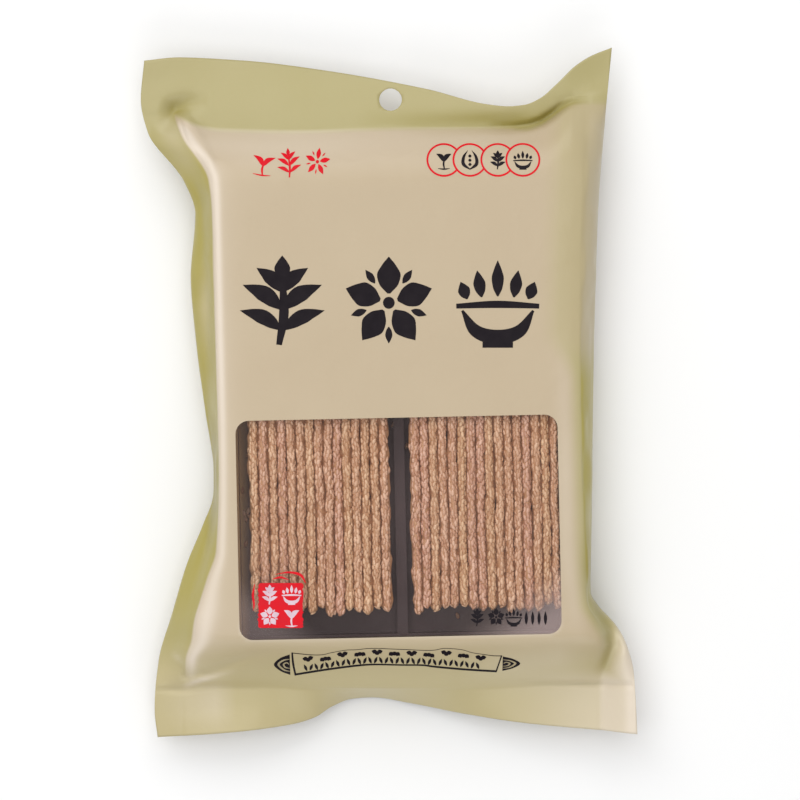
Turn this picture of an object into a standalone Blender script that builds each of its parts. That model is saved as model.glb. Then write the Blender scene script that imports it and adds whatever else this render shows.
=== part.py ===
"""A sealed pillow bag of sesame brittle slices, lying on its back with the window side up.

Metres, +Z up, +Y towards the header with its hang hole. The origin is the middle of the
footprint, on the surface that the bag lies on. The bag is one solid: a loft between a flat
seal at each end and a boxy body between them. Where the window lets one see in, it has a
cavity with a tray and two stacks of slices that stand on edge. Nothing is built inside the
rest of the bag, which is printed and can't be seen into.

Sizes below are in millimetres. Places across are x, places along are y.
"""

import math
import random

import bmesh
import bpy
from mathutils import Matrix

MM = 0.001

# The bag's heights
FACE_HEIGHT = 35.0
FLAP_THICKNESS = 1.0
BODY_SEAM_HEIGHT = 16.5
SHOULDER_DROP = 0.8

# The sealed ends, how far in from them the bag takes to fill out, and how roundly at the bottom
BOTTOM_FOLD = -111.7
TOP_FOLD = 100.2
BOTTOM_SLOPE = 20.0
BOTTOM_ROUNDNESS = 1.4
TOP_SLOPE = 23.0
SHOULDER_SLOPE = 30.0
FOLD_REACH = 0.3
BACK_FLATNESS = 1.06

# The x of the folds' ends and of the flaps' cut corners, left and right
FOLD_ENDS = (-81.0, 74.5)
BOTTOM_CORNERS = (-88.2, 94.2)
TOP_CORNERS = (-92.8, 84.7)

# Share of the half width that is front panel, and the angle at which the side leaves it
PANEL_SHARE = 0.78
PANEL_SQUARENESS = 8
SIDE_ANGLE = math.radians(35)

# The hang hole in the header
HOLE_RADIUS = 4.3
HOLE_AT = (0.6, 111.3)

# The window and the contents are turned a little against the bag
CONTENTS_TURN = math.radians(1.2)
WINDOW_WIDTH = 121.0
WINDOW_LENGTH = 82.4
WINDOW_AT = (2.6, -50.6)
WINDOW_CORNER = 5.0
WINDOW_THICKNESS = 0.5
WINDOW_BASE = 34.0
FIT_GAP = 0.35

# The cavity under the window, from its lowest to its highest corner
CAVITY_LOW = (-59.2, -93.0, 3.0)
CAVITY_HIGH = (64.8, 13.6, 33.6)

# The tray in the cavity
TRAY_WALL = 0.9
TRAY_HEIGHT = 9.0
DIVIDER_WIDTH = 4.0

# The slices
SLICE_PITCH = 3.5
SLICE_THICKNESS = 2.9
SLICE_LENGTH = 91.0
SLICE_BASE = CAVITY_LOW[2] + 2 * FIT_GAP + TRAY_WALL
SLICE_TOP = 32.6
TOP_SCATTER = (-0.5, 0.3)
SLICE_FOOT = -82.0
SLICE_CHAMFER = 0.8
SLICE_SEGMENTS = 15
SLICE_RELIEF = 0.11
CREST_RELIEF = 0.35
FOOT_SCATTER = 1.8
STACKS = {"left": (-53.2, 15), "right": (7.5, 16)}
SEED = 7

# How finely the bag is lofted
PANEL_COLUMNS = 15
SIDE_COLUMNS = 4
FLAP_ROWS = 4
BODY_ROWS = 30


def smooth_line(*points):
    """A function through the points, given in order of their first number, with no overshoot."""
    at = [p[0] for p in points]
    value = [p[1] for p in points]
    rise = [(v1 - v0) / (a1 - a0) for a0, a1, v0, v1 in zip(at, at[1:], value, value[1:])]
    tangent = [rise[0]]
    for before, after in zip(rise, rise[1:]):
        turns = before * after <= 0
        tangent.append(0.0 if turns else 2 * before * after / (before + after))
    tangent.append(rise[-1])

    def line(place):
        place = min(max(place, at[0]), at[-1])
        i = max(k for k in range(len(at) - 1) if at[k] <= place)
        step = at[i + 1] - at[i]
        t = (place - at[i]) / step
        return (
            value[i] * (1 + 2 * t) * (1 - t) ** 2
            + tangent[i] * step * t * (1 - t) ** 2
            + value[i + 1] * (3 - 2 * t) * t * t
            + tangent[i + 1] * step * t * t * (t - 1)
        )

    return line


# The bag's outline seen from above: x of the long sides at a given y
LEFT_EDGE = smooth_line(
    (-131.2, -88.2), (-121.0, -89.2), (-102.0, -87.6), (-84.0, -82.5), (-65.5, -77.0),
    (-50.0, -70.7), (-39.0, -66.9), (-32.7, -66.5), (-6.8, -69.9), (18.2, -73.2),
    (44.3, -75.3), (68.0, -73.6), (80.2, -77.8), (99.0, -91.6), (111.3, -94.2), (126.0, -92.8),
)
RIGHT_EDGE = smooth_line(
    (-129.4, 94.2), (-116.3, 93.5), (-104.7, 92.6), (-94.5, 89.7), (-88.0, 86.1),
    (-80.7, 79.5), (-75.6, 76.6), (-63.5, 76.8), (16.3, 77.9), (70.1, 79.5),
    (105.1, 82.1), (131.2, 84.7),
)

# Where the front panel turns down into the sides: x at a given y
LEFT_SHOULDER = smooth_line(
    (-111.7, -76.8), (-101.0, -76.2), (-93.0, -73.6), (-85.6, -72.7), (-77.8, -70.4), (-70.3, -68.2),
    (-59.0, -64.8), (-33.0, -64.5), (26.6, -65.6), (68.0, -66.6), (79.7, -67.4), (97.5, -77.8), (105.6, -81.3),
)
RIGHT_SHOULDER = smooth_line(
    (-109.1, 80.6), (-95.3, 84.4), (-87.2, 79.5), (-79.3, 74.8), (-69.2, 74.1),
    (-28.5, 72.6), (8.0, 71.9), (51.7, 72.2), (92.3, 73.7), (112.9, 74.5),
)

# The cut ends of the flaps: y at a given x
BOTTOM_EDGE = smooth_line(
    (-88.2, -131.2), (-69.5, -130.0), (-36.9, -126.4), (-27.6, -123.9), (-21.1, -120.0),
    (-13.2, -117.2), (-5.4, -116.8), (9.0, -118.9), (28.7, -122.5), (54.8, -126.1), (94.2, -129.4),
)
TOP_EDGE = smooth_line(
    (-92.8, 126.0), (-79.3, 127.4), (-56.4, 126.4), (-22.8, 122.4), (15.8, 115.3),
    (39.1, 109.4), (47.2, 108.6), (53.6, 109.2), (59.4, 111.8), (65.2, 117.3),
    (71.1, 123.7), (76.9, 127.8), (84.7, 131.2),
)

# The folds where the flaps leave the body: y at a given x
BOTTOM_FOLD_LINE = smooth_line((-77.0, -111.9), (0.0, -112.2), (80.0, -110.4))
TOP_FOLD_LINE = smooth_line(
    (-81.0, 105.6), (-74.0, 101.0), (-66.0, 99.5), (-40.0, 98.8), (0.0, 100.0),
    (45.0, 100.9), (53.0, 102.1), (58.0, 104.1), (62.5, 107.3), (66.5, 110.6), (70.0, 112.0), (74.5, 112.2),
)

# Height of the flaps' middle at their fold and at their cut end, at a given x
TOP_FOLD_HEIGHT = smooth_line((-90.0, 17.5), (-60.0, 19.0), (20.0, 20.5), (50.0, 20.0), (84.0, 19.0))
TOP_EDGE_HEIGHT = smooth_line(
    (-92.8, 20.0), (-60.0, 16.5), (-20.0, 17.0), (10.0, 19.0), (46.0, 21.0), (66.0, 21.0), (84.7, 17.0)
)
BOTTOM_EDGE_HEIGHT = smooth_line(
    (-88.2, 12.0), (-55.0, 15.5), (-28.0, 9.0), (-8.0, 2.5), (14.0, 5.0), (50.0, 12.5), (94.2, 15.0)
)


def mix(a, b, share):
    """The value that lies this share of the way from a to b."""
    return a + (b - a) * share


def ramp(distance, length, roundness=2.0):
    """0 at distance 0, steep there, and level at 1 from length on."""
    return 1 - (1 - min(max(distance / length, 0.0), 1.0)) ** roundness


def soft_step(share):
    """0 to 1 with level ends."""
    share = min(max(share, 0.0), 1.0)
    return share * share * (3 - 2 * share)


def across(column):
    """(share across the front panel from -1 to 1, share of the way out on the side from 0 to 1)."""
    over = (abs(column) - PANEL_SHARE) / (1 - PANEL_SHARE)
    panel = max(-1.0, min(1.0, column / PANEL_SHARE))
    return panel, max(0.0, over)


def side_angle(side):
    """How far the side film has turned, from where it leaves the panel to the seam."""
    return mix(SIDE_ANGLE, math.pi / 2, side)


def film_plan(column, row):
    """(x, y) of the film, and how far y is from the bottom fold and from the top one.

    The column runs from -1 at the left edge to 1 at the right one. Rows -1 to 0 are the bottom
    flap, 0 to 1 the body and 1 to 2 the header.
    """
    panel, side = across(column)
    fold_x = mix(*FOLD_ENDS, (panel + 1) / 2)
    low_fold, high_fold = BOTTOM_FOLD_LINE(fold_x), TOP_FOLD_LINE(fold_x)
    flap = max(-row, row - 1, 0.0)
    share = (column + 1) / 2
    if row < 0:
        y = mix(low_fold, BOTTOM_EDGE(mix(*BOTTOM_CORNERS, share)), flap)
    elif row > 1:
        y = mix(high_fold, TOP_EDGE(mix(*TOP_CORNERS, share)), flap)
    else:
        y = mix(BOTTOM_FOLD, TOP_FOLD, row)
        y += (high_fold - TOP_FOLD) * soft_step((row - 1 + FOLD_REACH) / FOLD_REACH)
        y += (low_fold - BOTTOM_FOLD) * soft_step((FOLD_REACH - row) / FOLD_REACH)

    x = mix(LEFT_SHOULDER(y), RIGHT_SHOULDER(y), (panel + 1) / 2)
    if side:
        edge = LEFT_EDGE(y) if column < 0 else RIGHT_EDGE(y)
        start = math.sin(SIDE_ANGLE)
        x = mix(x, edge, (math.sin(side_angle(side)) - start) / (1 - start))
    flat_x = mix(LEFT_EDGE(y), RIGHT_EDGE(y), share)
    return mix(x, flat_x, flap), y, y - low_fold, high_fold - y


def seam_height(x, row):
    """Height of the middle between the front and back films where they meet."""
    if row < 0:
        return mix(BODY_SEAM_HEIGHT, BOTTOM_EDGE_HEIGHT(x), -row)
    if row > 1:
        return mix(TOP_FOLD_HEIGHT(x), TOP_EDGE_HEIGHT(x), row - 1)
    return mix(BODY_SEAM_HEIGHT, TOP_FOLD_HEIGHT(x), soft_step((row - 1 + FOLD_REACH) / FOLD_REACH))


def film_point(column, row):
    """Where the film lies at a column and a row, as (x, y, front z, back z)."""
    x, y, from_low, from_high = film_plan(column, row)
    panel, side = across(column)
    middle = shoulder = 0.0
    if 0 <= row <= 1:
        middle = ramp(from_low, BOTTOM_SLOPE, BOTTOM_ROUNDNESS) * ramp(from_high, TOP_SLOPE)
        shoulder = ramp(from_low, SHOULDER_SLOPE) * ramp(from_high, SHOULDER_SLOPE)
        shoulder *= 1 - SHOULDER_DROP / FACE_HEIGHT
    fill = mix(middle, min(middle, shoulder), abs(panel) ** PANEL_SQUARENESS)
    back_fill = min(1.0, fill * BACK_FLATNESS)
    if side:
        fullness = math.cos(side_angle(side)) / math.cos(SIDE_ANGLE)
        fill *= fullness
        back_fill *= fullness
    seam = seam_height(x, row)
    front = mix(seam + FLAP_THICKNESS / 2, FACE_HEIGHT, fill)
    back = mix(seam - FLAP_THICKNESS / 2, 0.0, back_fill)
    return x, y, front, back


def bag_columns():
    """Columns from the left edge to the right one, closer together near the shoulders."""
    inner = [math.sin(math.pi / 2 * mix(-1, 1, i / (PANEL_COLUMNS - 1))) for i in range(PANEL_COLUMNS)]
    panel = [PANEL_SHARE * place for place in inner]
    side = [mix(PANEL_SHARE, 1.0, (i + 1) / SIDE_COLUMNS) for i in range(SIDE_COLUMNS)]
    return [-place for place in reversed(side)] + panel + side


def bag_rows():
    """Rows from the bottom flap's cut end to the header's, closer together near the folds."""
    flap = [i / FLAP_ROWS for i in range(FLAP_ROWS)]
    body = [0.5 - 0.5 * math.cos(math.pi * i / BODY_ROWS) for i in range(BODY_ROWS)]
    return [place - 1 for place in flap] + body + [place + 1 for place in flap] + [2.0]


def new_object(name, mesh, collection, parent=None):
    """Links a mesh to the collection as an object of that name."""
    thing = bpy.data.objects.new(name, mesh)
    collection.objects.link(thing)
    thing.parent = parent
    return thing


def finish_mesh(name, bm):
    """Turns the bmesh, in millimetres, into a mesh in metres with its faces pointing out."""
    bmesh.ops.scale(bm, vec=(MM, MM, MM), verts=bm.verts)
    bmesh.ops.recalc_face_normals(bm, faces=bm.faces)
    mesh = bpy.data.meshes.new(name)
    bm.to_mesh(mesh)
    bm.free()
    return mesh


def paint(thing, colour, roughness, alpha=1.0):
    """Gives the object a Principled material of its own."""
    material = bpy.data.materials.new(thing.name)
    material.use_nodes = True
    shader = material.node_tree.nodes["Principled BSDF"]
    shader.inputs["Base Color"].default_value = (*colour, 1.0)
    shader.inputs["Roughness"].default_value = roughness
    shader.inputs["Metallic"].default_value = 0.0
    shader.inputs["Alpha"].default_value = alpha
    thing.data.materials.append(material)


def loft_bag():
    """The filled bag as one closed body: rings of film points, joined and closed at the cut ends."""
    bm = bmesh.new()
    rings = []
    for row in bag_rows():
        points = [film_point(column, row) for column in bag_columns()]
        front = [bm.verts.new((x, y, high)) for x, y, high, low in points]
        back = [bm.verts.new((x, y, low)) for x, y, high, low in points]
        rings.append((front, back))
    for (front, back), (next_front, next_back) in zip(rings, rings[1:]):
        loop = front + back[::-1]
        next_loop = next_front + next_back[::-1]
        for i in range(len(loop)):
            j = (i + 1) % len(loop)
            bm.faces.new((loop[i], loop[j], next_loop[j], next_loop[i]))
    for front, back in (rings[0], rings[-1]):
        for i in range(len(front) - 1):
            bm.faces.new((front[i], front[i + 1], back[i + 1], back[i]))
    return finish_mesh("bag", bm)


def box_mesh(name, low, high):
    """A box between two corners."""
    bm = bmesh.new()
    bmesh.ops.create_cube(bm, size=1.0)
    bmesh.ops.scale(bm, vec=[b - a for a, b in zip(low, high)], verts=bm.verts)
    bmesh.ops.translate(bm, vec=[(a + b) / 2 for a, b in zip(low, high)], verts=bm.verts)
    return finish_mesh(name, bm)


def window_mesh(name, inset, base, height):
    """The window's outline, taken in by inset, as an upright block: a box with rounded corners."""
    bm = bmesh.new()
    bmesh.ops.create_cube(bm, size=1.0)
    size = (WINDOW_WIDTH - 2 * inset, WINDOW_LENGTH - 2 * inset, height)
    bmesh.ops.scale(bm, vec=size, verts=bm.verts)
    bmesh.ops.translate(bm, vec=(*WINDOW_AT, base + height / 2), verts=bm.verts)
    upright = [e for e in bm.edges if abs(e.verts[0].co.z - e.verts[1].co.z) > height / 2]
    corner = WINDOW_CORNER - inset
    bmesh.ops.bevel(bm, geom=upright, offset=corner, segments=6, profile=0.5, affect="EDGES")
    return finish_mesh(name, bm)


def slice_mesh(name, draw):
    """One slice standing on its long edge, its foot at y 0 and its lower edge at z 0.

    A box cut into lengths, with chamfered upper edges and an uneven, grainy surface.
    """
    height = SLICE_TOP - SLICE_BASE + draw.uniform(*TOP_SCATTER)
    bm = bmesh.new()
    bmesh.ops.create_cube(bm, size=1.0)
    bmesh.ops.scale(bm, vec=(SLICE_THICKNESS, SLICE_LENGTH, height), verts=bm.verts)
    bmesh.ops.translate(bm, vec=(0, SLICE_LENGTH / 2, height / 2), verts=bm.verts)
    crest = [e for e in bm.edges if all(v.co.z > height / 2 for v in e.verts)]
    crest = [e for e in crest if abs(e.verts[0].co.y - e.verts[1].co.y) > SLICE_LENGTH / 2]
    bmesh.ops.bevel(bm, geom=crest, offset=SLICE_CHAMFER, segments=1, affect="EDGES")
    long_edges = [e for e in bm.edges if abs(e.verts[0].co.y - e.verts[1].co.y) > SLICE_LENGTH / 2]
    bmesh.ops.subdivide_edges(bm, edges=long_edges, cuts=SLICE_SEGMENTS - 1)
    for v in bm.verts:
        v.co.x += draw.uniform(-SLICE_RELIEF, SLICE_RELIEF)
        if v.co.z > height / 2:
            v.co.z += draw.uniform(-CREST_RELIEF, CREST_RELIEF)
        if min(v.co.y, SLICE_LENGTH - v.co.y) < SLICE_CHAMFER:
            v.co.y += draw.uniform(-CREST_RELIEF, CREST_RELIEF)
    return finish_mesh(name, bm)


def add_cutter(name, mesh, collection, parent=None):
    """A guide body that only cuts others."""
    cutter = new_object(name, mesh, collection, parent)
    cutter.hide_render = True
    cutter.display_type = "WIRE"
    return cutter


def cut(thing, cutter):
    """Takes the cutter's volume out of the object."""
    modifier = thing.modifiers.new("cut_" + cutter.name, "BOOLEAN")
    modifier.operation = "DIFFERENCE"
    modifier.solver = "EXACT"
    modifier.object = cutter


def hang_hole_mesh():
    """An upright pin through the header, where the hang hole is punched."""
    bm = bmesh.new()
    depth = 3 * FACE_HEIGHT
    place = Matrix.Translation((*HOLE_AT, 0))
    bmesh.ops.create_cone(
        bm, cap_ends=True, segments=32, radius1=HOLE_RADIUS, radius2=HOLE_RADIUS, depth=depth, matrix=place
    )
    return finish_mesh("hang_hole", bm)


def build_bag(parts, cutters, turned):
    """The bag with its hang hole, its cavity and the window's opening."""
    bag = new_object("bag", loft_bag(), parts)
    hole = add_cutter("hang_hole", hang_hole_mesh(), cutters)
    cavity = add_cutter("cavity", box_mesh("cavity", CAVITY_LOW, CAVITY_HIGH), cutters, turned)
    opening_base = FACE_HEIGHT / 2
    opening = window_mesh("window_opening", 0.0, opening_base, FACE_HEIGHT)
    opening = add_cutter("window_opening", opening, cutters, turned)
    for cutter in (hole, cavity, opening):
        cut(bag, cutter)
    paint(bag, (0.60, 0.51, 0.30), 0.45)


def build_window(parts, turned):
    """The clear part of the film, a thin plate level with the printed part."""
    window = window_mesh("window", FIT_GAP, WINDOW_BASE, WINDOW_THICKNESS)
    paint(new_object("window", window, parts, turned), (0.9, 0.9, 0.88), 0.1, alpha=0.2)


def build_tray(parts, cutters, turned):
    """A shallow dark tray with a compartment for each stack and a low divider between them."""
    low = [a + FIT_GAP for a in CAVITY_LOW]
    high = [CAVITY_HIGH[0] - FIT_GAP, CAVITY_HIGH[1] - FIT_GAP, low[2] + TRAY_HEIGHT]
    tray = new_object("tray", box_mesh("tray", low, high), parts, turned)
    left_end = STACKS["left"][0] + STACKS["left"][1] * SLICE_PITCH
    divider = (left_end + STACKS["right"][0]) / 2
    spans = {
        "left": (low[0] + TRAY_WALL, divider - DIVIDER_WIDTH / 2),
        "right": (divider + DIVIDER_WIDTH / 2, high[0] - TRAY_WALL),
    }
    for side, (start, end) in spans.items():
        name = "tray_pocket_" + side
        near = (start, low[1] + TRAY_WALL, low[2] + TRAY_WALL)
        far = (end, high[1] - TRAY_WALL, high[2] + TRAY_HEIGHT)
        cut(tray, add_cutter(name, box_mesh(name, near, far), cutters, turned))
    paint(tray, (0.09, 0.07, 0.07), 0.5)


def build_slices(parts, turned):
    """Both stacks: slices side by side across the tray, each its own object."""
    draw = random.Random(SEED)
    for side, (start, count) in STACKS.items():
        for i in range(count):
            name = f"slice_{side}_{i + 1:02d}"
            piece = new_object(name, slice_mesh(name, draw), parts, turned)
            place = (
                start + (i + 0.5) * SLICE_PITCH,
                SLICE_FOOT + draw.uniform(-FOOT_SCATTER, FOOT_SCATTER),
                SLICE_BASE,
            )
            piece.location = [p * MM for p in place]
            paint(piece, (0.47, 0.26, 0.15), 0.6)


def new_collection(name):
    """A collection under the scene's own."""
    collection = bpy.data.collections.new(name)
    bpy.context.scene.collection.children.link(collection)
    return collection


def main():
    """Builds the pack in an emptied scene."""
    for old in list(bpy.data.objects):
        bpy.data.objects.remove(old)
    parts = new_collection("sesame_brittle_pack")
    cutters = new_collection("cutters")
    turned = bpy.data.objects.new("contents_turn", None)
    turned.rotation_euler.z = CONTENTS_TURN
    parts.objects.link(turned)
    build_bag(parts, cutters, turned)
    build_window(parts, turned)
    build_tray(parts, cutters, turned)
    build_slices(parts, turned)


main()
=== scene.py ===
"""The looks of a windowed pillow bag of sesame brittle slices that lies on its back.

Sizes and places are in millimetres, x across the bag and y along it, and become metres when a
mesh is made. The film repeats the bag's own outline, folds and slopes, with a fine surface.
"""

import math
import random

import bmesh
import bpy
import numpy as np
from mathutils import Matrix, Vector
from mathutils.bvhtree import BVHTree


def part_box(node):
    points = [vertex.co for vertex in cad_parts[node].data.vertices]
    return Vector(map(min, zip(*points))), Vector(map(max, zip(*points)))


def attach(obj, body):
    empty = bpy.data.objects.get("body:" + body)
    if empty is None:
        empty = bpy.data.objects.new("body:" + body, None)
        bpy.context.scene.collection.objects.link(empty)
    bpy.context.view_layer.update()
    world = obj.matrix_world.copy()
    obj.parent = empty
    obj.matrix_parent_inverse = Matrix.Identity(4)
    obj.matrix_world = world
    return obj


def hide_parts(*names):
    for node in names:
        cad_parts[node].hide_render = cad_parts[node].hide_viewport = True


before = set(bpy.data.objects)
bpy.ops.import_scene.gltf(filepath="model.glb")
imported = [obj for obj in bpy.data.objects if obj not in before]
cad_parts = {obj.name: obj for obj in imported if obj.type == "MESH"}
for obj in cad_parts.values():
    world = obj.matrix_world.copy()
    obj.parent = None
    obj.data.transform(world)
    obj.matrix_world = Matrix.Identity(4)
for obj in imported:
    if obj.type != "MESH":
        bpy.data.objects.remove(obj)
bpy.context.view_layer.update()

MM = 0.001
BAG_LOW, BAG_HIGH = (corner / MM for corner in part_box("bag"))
BAG_TOP = BAG_HIGH.z

# Film heights: the front and back where the bag is full, how high and low creases may go, the height
# at which the side films meet, and how much lower the shoulders lie than the middle
FACE_HEIGHT = BAG_TOP - 0.3
FACE_LIMIT = BAG_TOP - 0.02
LOWEST_FRONT = 0.6
BACK_HEIGHT = 0.35
LOWEST_BACK = 0.33
BODY_SEAM_HEIGHT = 16.5
SHOULDER_DROP = 0.8

# How far apart the front and back films lie where they are sealed, and at least everywhere
FILM_THICKNESS = 0.3
LEAST_GAP = 0.2

# The two folds, how far in from them the bag takes to fill out in its middle and at its shoulders,
# and how roundly it does so at the bottom
BOTTOM_FOLD = -111.7
TOP_FOLD = 100.2
BOTTOM_SLOPE = 20.0
BOTTOM_ROUNDNESS = 1.4
TOP_SLOPE = 23.0
SHOULDER_SLOPE = 30.0

# Share of the body over which the curves of the two folds fade out
FOLD_REACH = 0.3

# How much sooner the back fills out than the front
BACK_FLATNESS = 1.06

# The x of the folds' ends and of the flaps' cut corners, left and right
FOLD_ENDS = (-81.0, 74.5)
BOTTOM_CORNERS = (-88.2, 94.2)
TOP_CORNERS = (-92.8, 84.7)

# Share of the half width that is front panel, and the angle at which the side leaves it
PANEL_SHARE = 0.78
PANEL_SQUARENESS = 8
SIDE_ANGLE = math.radians(35)

# The hang hole
HOLE_RADIUS = 4.3
HOLE_AT = (0.6, 111.3)

# The window and the contents, turned a little against the bag
CONTENTS_TURN = math.radians(1.2)
WINDOW_WIDTH = 121.0
WINDOW_LENGTH = 82.4
WINDOW_AT = (2.6, -50.6)
WINDOW_CORNER = 5.0

# The pale line that the print leaves along the window's lower edge: its width, and where it starts
WINDOW_RIM = 0.8
WINDOW_RIM_TOP = -82.0

# The soft roll along the panel's right edge
RIGHT_ROLL = 10.0
RIGHT_ROLL_DROP = 1.1

# Loose film at both ends of the header's fold: the rows where it starts and ends and the column where
# it starts, each with how long it takes, and how many times it is evened out
LOOSE_START = (0.86, 0.1)
LOOSE_END = (1.5, -0.3)
LOOSE_COLUMN = (0.66, 0.1)
LOOSE_SMOOTHING = 60

# The left side falls away steeply and flares out again: how steeply, and how much of that form it has
HOLLOW_STEEPNESS = 1.8
HOLLOW_SHARE = 0.6

# The lap seal on the back: the columns and rows of film that it covers, its crimps, its thickness and
# its gap to the film
SEAM_COLUMNS = (0.12, 0.25)
SEAM_ROWS = (-0.97, 1.97)
SEAM_CRIMP = 0.06
SEAM_PITCH = 1.3
SEAM_THICKNESS = 0.16
SEAM_GAP = 0.02

# How finely the film is made
PANEL_COLUMNS = 151
EDGE_FINENESS = 0.55
SIDE_COLUMNS = 22
FLAP_ROWS = 20
BODY_ROWS = 190


def mix(a, b, share):
    """The value that lies this share of the way from a to b."""
    return a + (b - a) * share


def ramp(distance, length, roundness=2.0):
    """0 at distance 0, steep there, and level at 1 from length on."""
    return 1 - (1 - np.clip(distance / length, 0.0, 1.0)) ** roundness


def soft_step(share):
    """0 to 1 with level ends."""
    share = np.clip(share, 0.0, 1.0)
    return share * share * (3 - 2 * share)


def passing(value, start, length):
    """0 to 1 as the value goes from start on by this length, which is negative if it falls."""
    return soft_step((value - start) / length)


def smooth_line(*points):
    """A function of arrays through the points, in order of their first number, with no overshoot."""
    at, value = np.array(points, float).T
    rise = np.diff(value) / np.diff(at)
    before, after = rise[:-1], rise[1:]
    same_way = before * after > 0
    inner = np.where(same_way, 2 * before * after / np.where(same_way, before + after, 1.0), 0.0)
    tangent = np.concatenate((rise[:1], inner, rise[-1:]))

    def line(place):
        place = np.clip(place, at[0], at[-1])
        i = np.clip(np.searchsorted(at, place, side="right") - 1, 0, len(at) - 2)
        step = at[i + 1] - at[i]
        t = (place - at[i]) / step
        return (
            value[i] * (1 + 2 * t) * (1 - t) ** 2
            + tangent[i] * step * t * (1 - t) ** 2
            + value[i + 1] * (3 - 2 * t) * t * t
            + tangent[i + 1] * step * t * t * (t - 1)
        )

    return line


# The bag's outline seen from above: x of the long sides at a given y
LEFT_EDGE = smooth_line(
    (-131.2, -88.2), (-121.0, -89.2), (-102.0, -87.6), (-84.0, -82.5), (-65.5, -77.0),
    (-50.0, -70.7), (-39.0, -66.9), (-32.7, -66.5), (-6.8, -69.9), (18.2, -73.2),
    (44.3, -75.3), (68.0, -73.6), (80.2, -77.8), (99.0, -91.6), (111.3, -94.2), (126.0, -92.8),
)
RIGHT_EDGE = smooth_line(
    (-129.4, 94.2), (-116.3, 93.5), (-104.7, 92.6), (-94.5, 89.7), (-88.0, 86.1),
    (-80.7, 79.5), (-75.6, 76.6), (-63.5, 76.8), (16.3, 77.9), (70.1, 79.5),
    (105.1, 82.1), (131.2, 84.7),
)

# Where the front panel turns down into the sides: x at a given y
LEFT_SHOULDER = smooth_line(
    (-111.7, -76.8), (-101.0, -76.2), (-93.0, -73.6), (-85.6, -72.7), (-77.8, -70.4), (-70.3, -67.9),
    (-59.0, -64.3), (-33.0, -63.8), (26.6, -65.0), (68.0, -66.1), (79.7, -67.2), (97.5, -77.8),
    (105.6, -81.3),
)
RIGHT_SHOULDER = smooth_line(
    (-109.1, 80.6), (-95.3, 84.4), (-87.2, 79.5), (-79.3, 74.8), (-69.2, 74.1),
    (-28.5, 72.6), (8.0, 71.9), (51.7, 72.2), (92.3, 73.7), (112.9, 74.5),
)

# The cut ends of the flaps: y at a given x
BOTTOM_EDGE = smooth_line(
    (-88.2, -131.2), (-69.5, -130.0), (-36.9, -126.4), (-27.6, -123.9), (-21.1, -120.0),
    (-13.2, -117.2), (-5.4, -116.8), (9.0, -118.9), (28.7, -122.5), (54.8, -126.1), (94.2, -129.4),
)
TOP_EDGE = smooth_line(
    (-92.8, 126.0), (-79.3, 127.4), (-56.4, 126.4), (-22.8, 122.4), (15.8, 115.3),
    (39.1, 109.4), (47.2, 108.6), (53.6, 109.2), (59.4, 111.8), (65.2, 117.3),
    (71.1, 123.7), (76.9, 127.8), (84.7, 131.2),
)

# The folds where the flaps leave the body: y at a given x
BOTTOM_FOLD_LINE = smooth_line((-77.0, -111.9), (0.0, -112.2), (80.0, -110.4))
TOP_FOLD_LINE = smooth_line(
    (-81.0, 105.6), (-74.0, 101.0), (-66.0, 99.5), (-40.0, 98.8), (0.0, 100.0),
    (45.0, 100.9), (53.0, 102.1), (58.0, 104.1), (62.5, 107.3), (66.5, 110.6), (70.0, 112.0), (74.5, 112.2),
)

# The facet along the panel's left edge: its width and how far it drops at a given y
LEFT_BEVEL = smooth_line((-110.0, 3.2), (76.0, 3.4), (87.0, 5.2), (93.0, 6.4), (101.0, 5.8), (106.0, 4.0))
LEFT_BEVEL_DROP = smooth_line(
    (-110.0, 0.7), (-60.0, 0.6), (70.0, 0.7), (88.0, 2.2), (100.0, 2.6), (106.0, 1.8)
)

# How strong the painted highlight along that facet's crest is, and how wide it is, at a given y
PAINTED_CREST_HIGHLIGHT = smooth_line(
    (-111.0, 0.0), (-105.5, 0.4), (-100.0, 0.8), (-85.0, 0.66), (-72.0, 0.58), (-58.0, 0.62), (-20.0, 0.68),
    (20.0, 0.8), (60.0, 0.8), (97.0, 0.72), (105.0, 0.4), (108.0, 0.0),
)
PAINTED_CREST_WIDTH = smooth_line(
    (-111.0, 1.2), (-101.0, 1.3), (-93.0, 2.2), (-84.0, 2.6), (-72.0, 1.8), (-58.0, 1.1),
    (60.0, 1.0), (78.0, 1.2), (90.0, 1.6), (104.0, 1.2),
)

# How strongly light is painted onto the film just below the header's fold, making it paler, at a given x
TOP_SLOPE_PAINTED_LIGHT = smooth_line(
    (-80.0, 0.1), (-70.0, 0.3), (-40.0, 0.34), (0.0, 0.22), (30.0, 0.16), (54.0, 0.0)
)

# Height of the flaps' middle at their fold and at their cut end, at a given x
TOP_FOLD_HEIGHT = smooth_line((-90.0, 17.5), (-60.0, 19.0), (20.0, 20.5), (50.0, 20.0), (84.0, 19.0))
TOP_EDGE_HEIGHT = smooth_line(
    (-92.8, 20.0), (-60.0, 16.5), (-20.0, 17.0), (10.0, 19.0), (46.0, 21.0), (66.0, 21.0), (84.7, 17.0)
)
BOTTOM_EDGE_HEIGHT = smooth_line(
    (-88.2, 12.0), (-55.0, 15.5), (-28.0, 9.0), (-8.0, 2.5), (14.0, 5.0), (50.0, 12.5), (94.2, 15.0)
)

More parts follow.
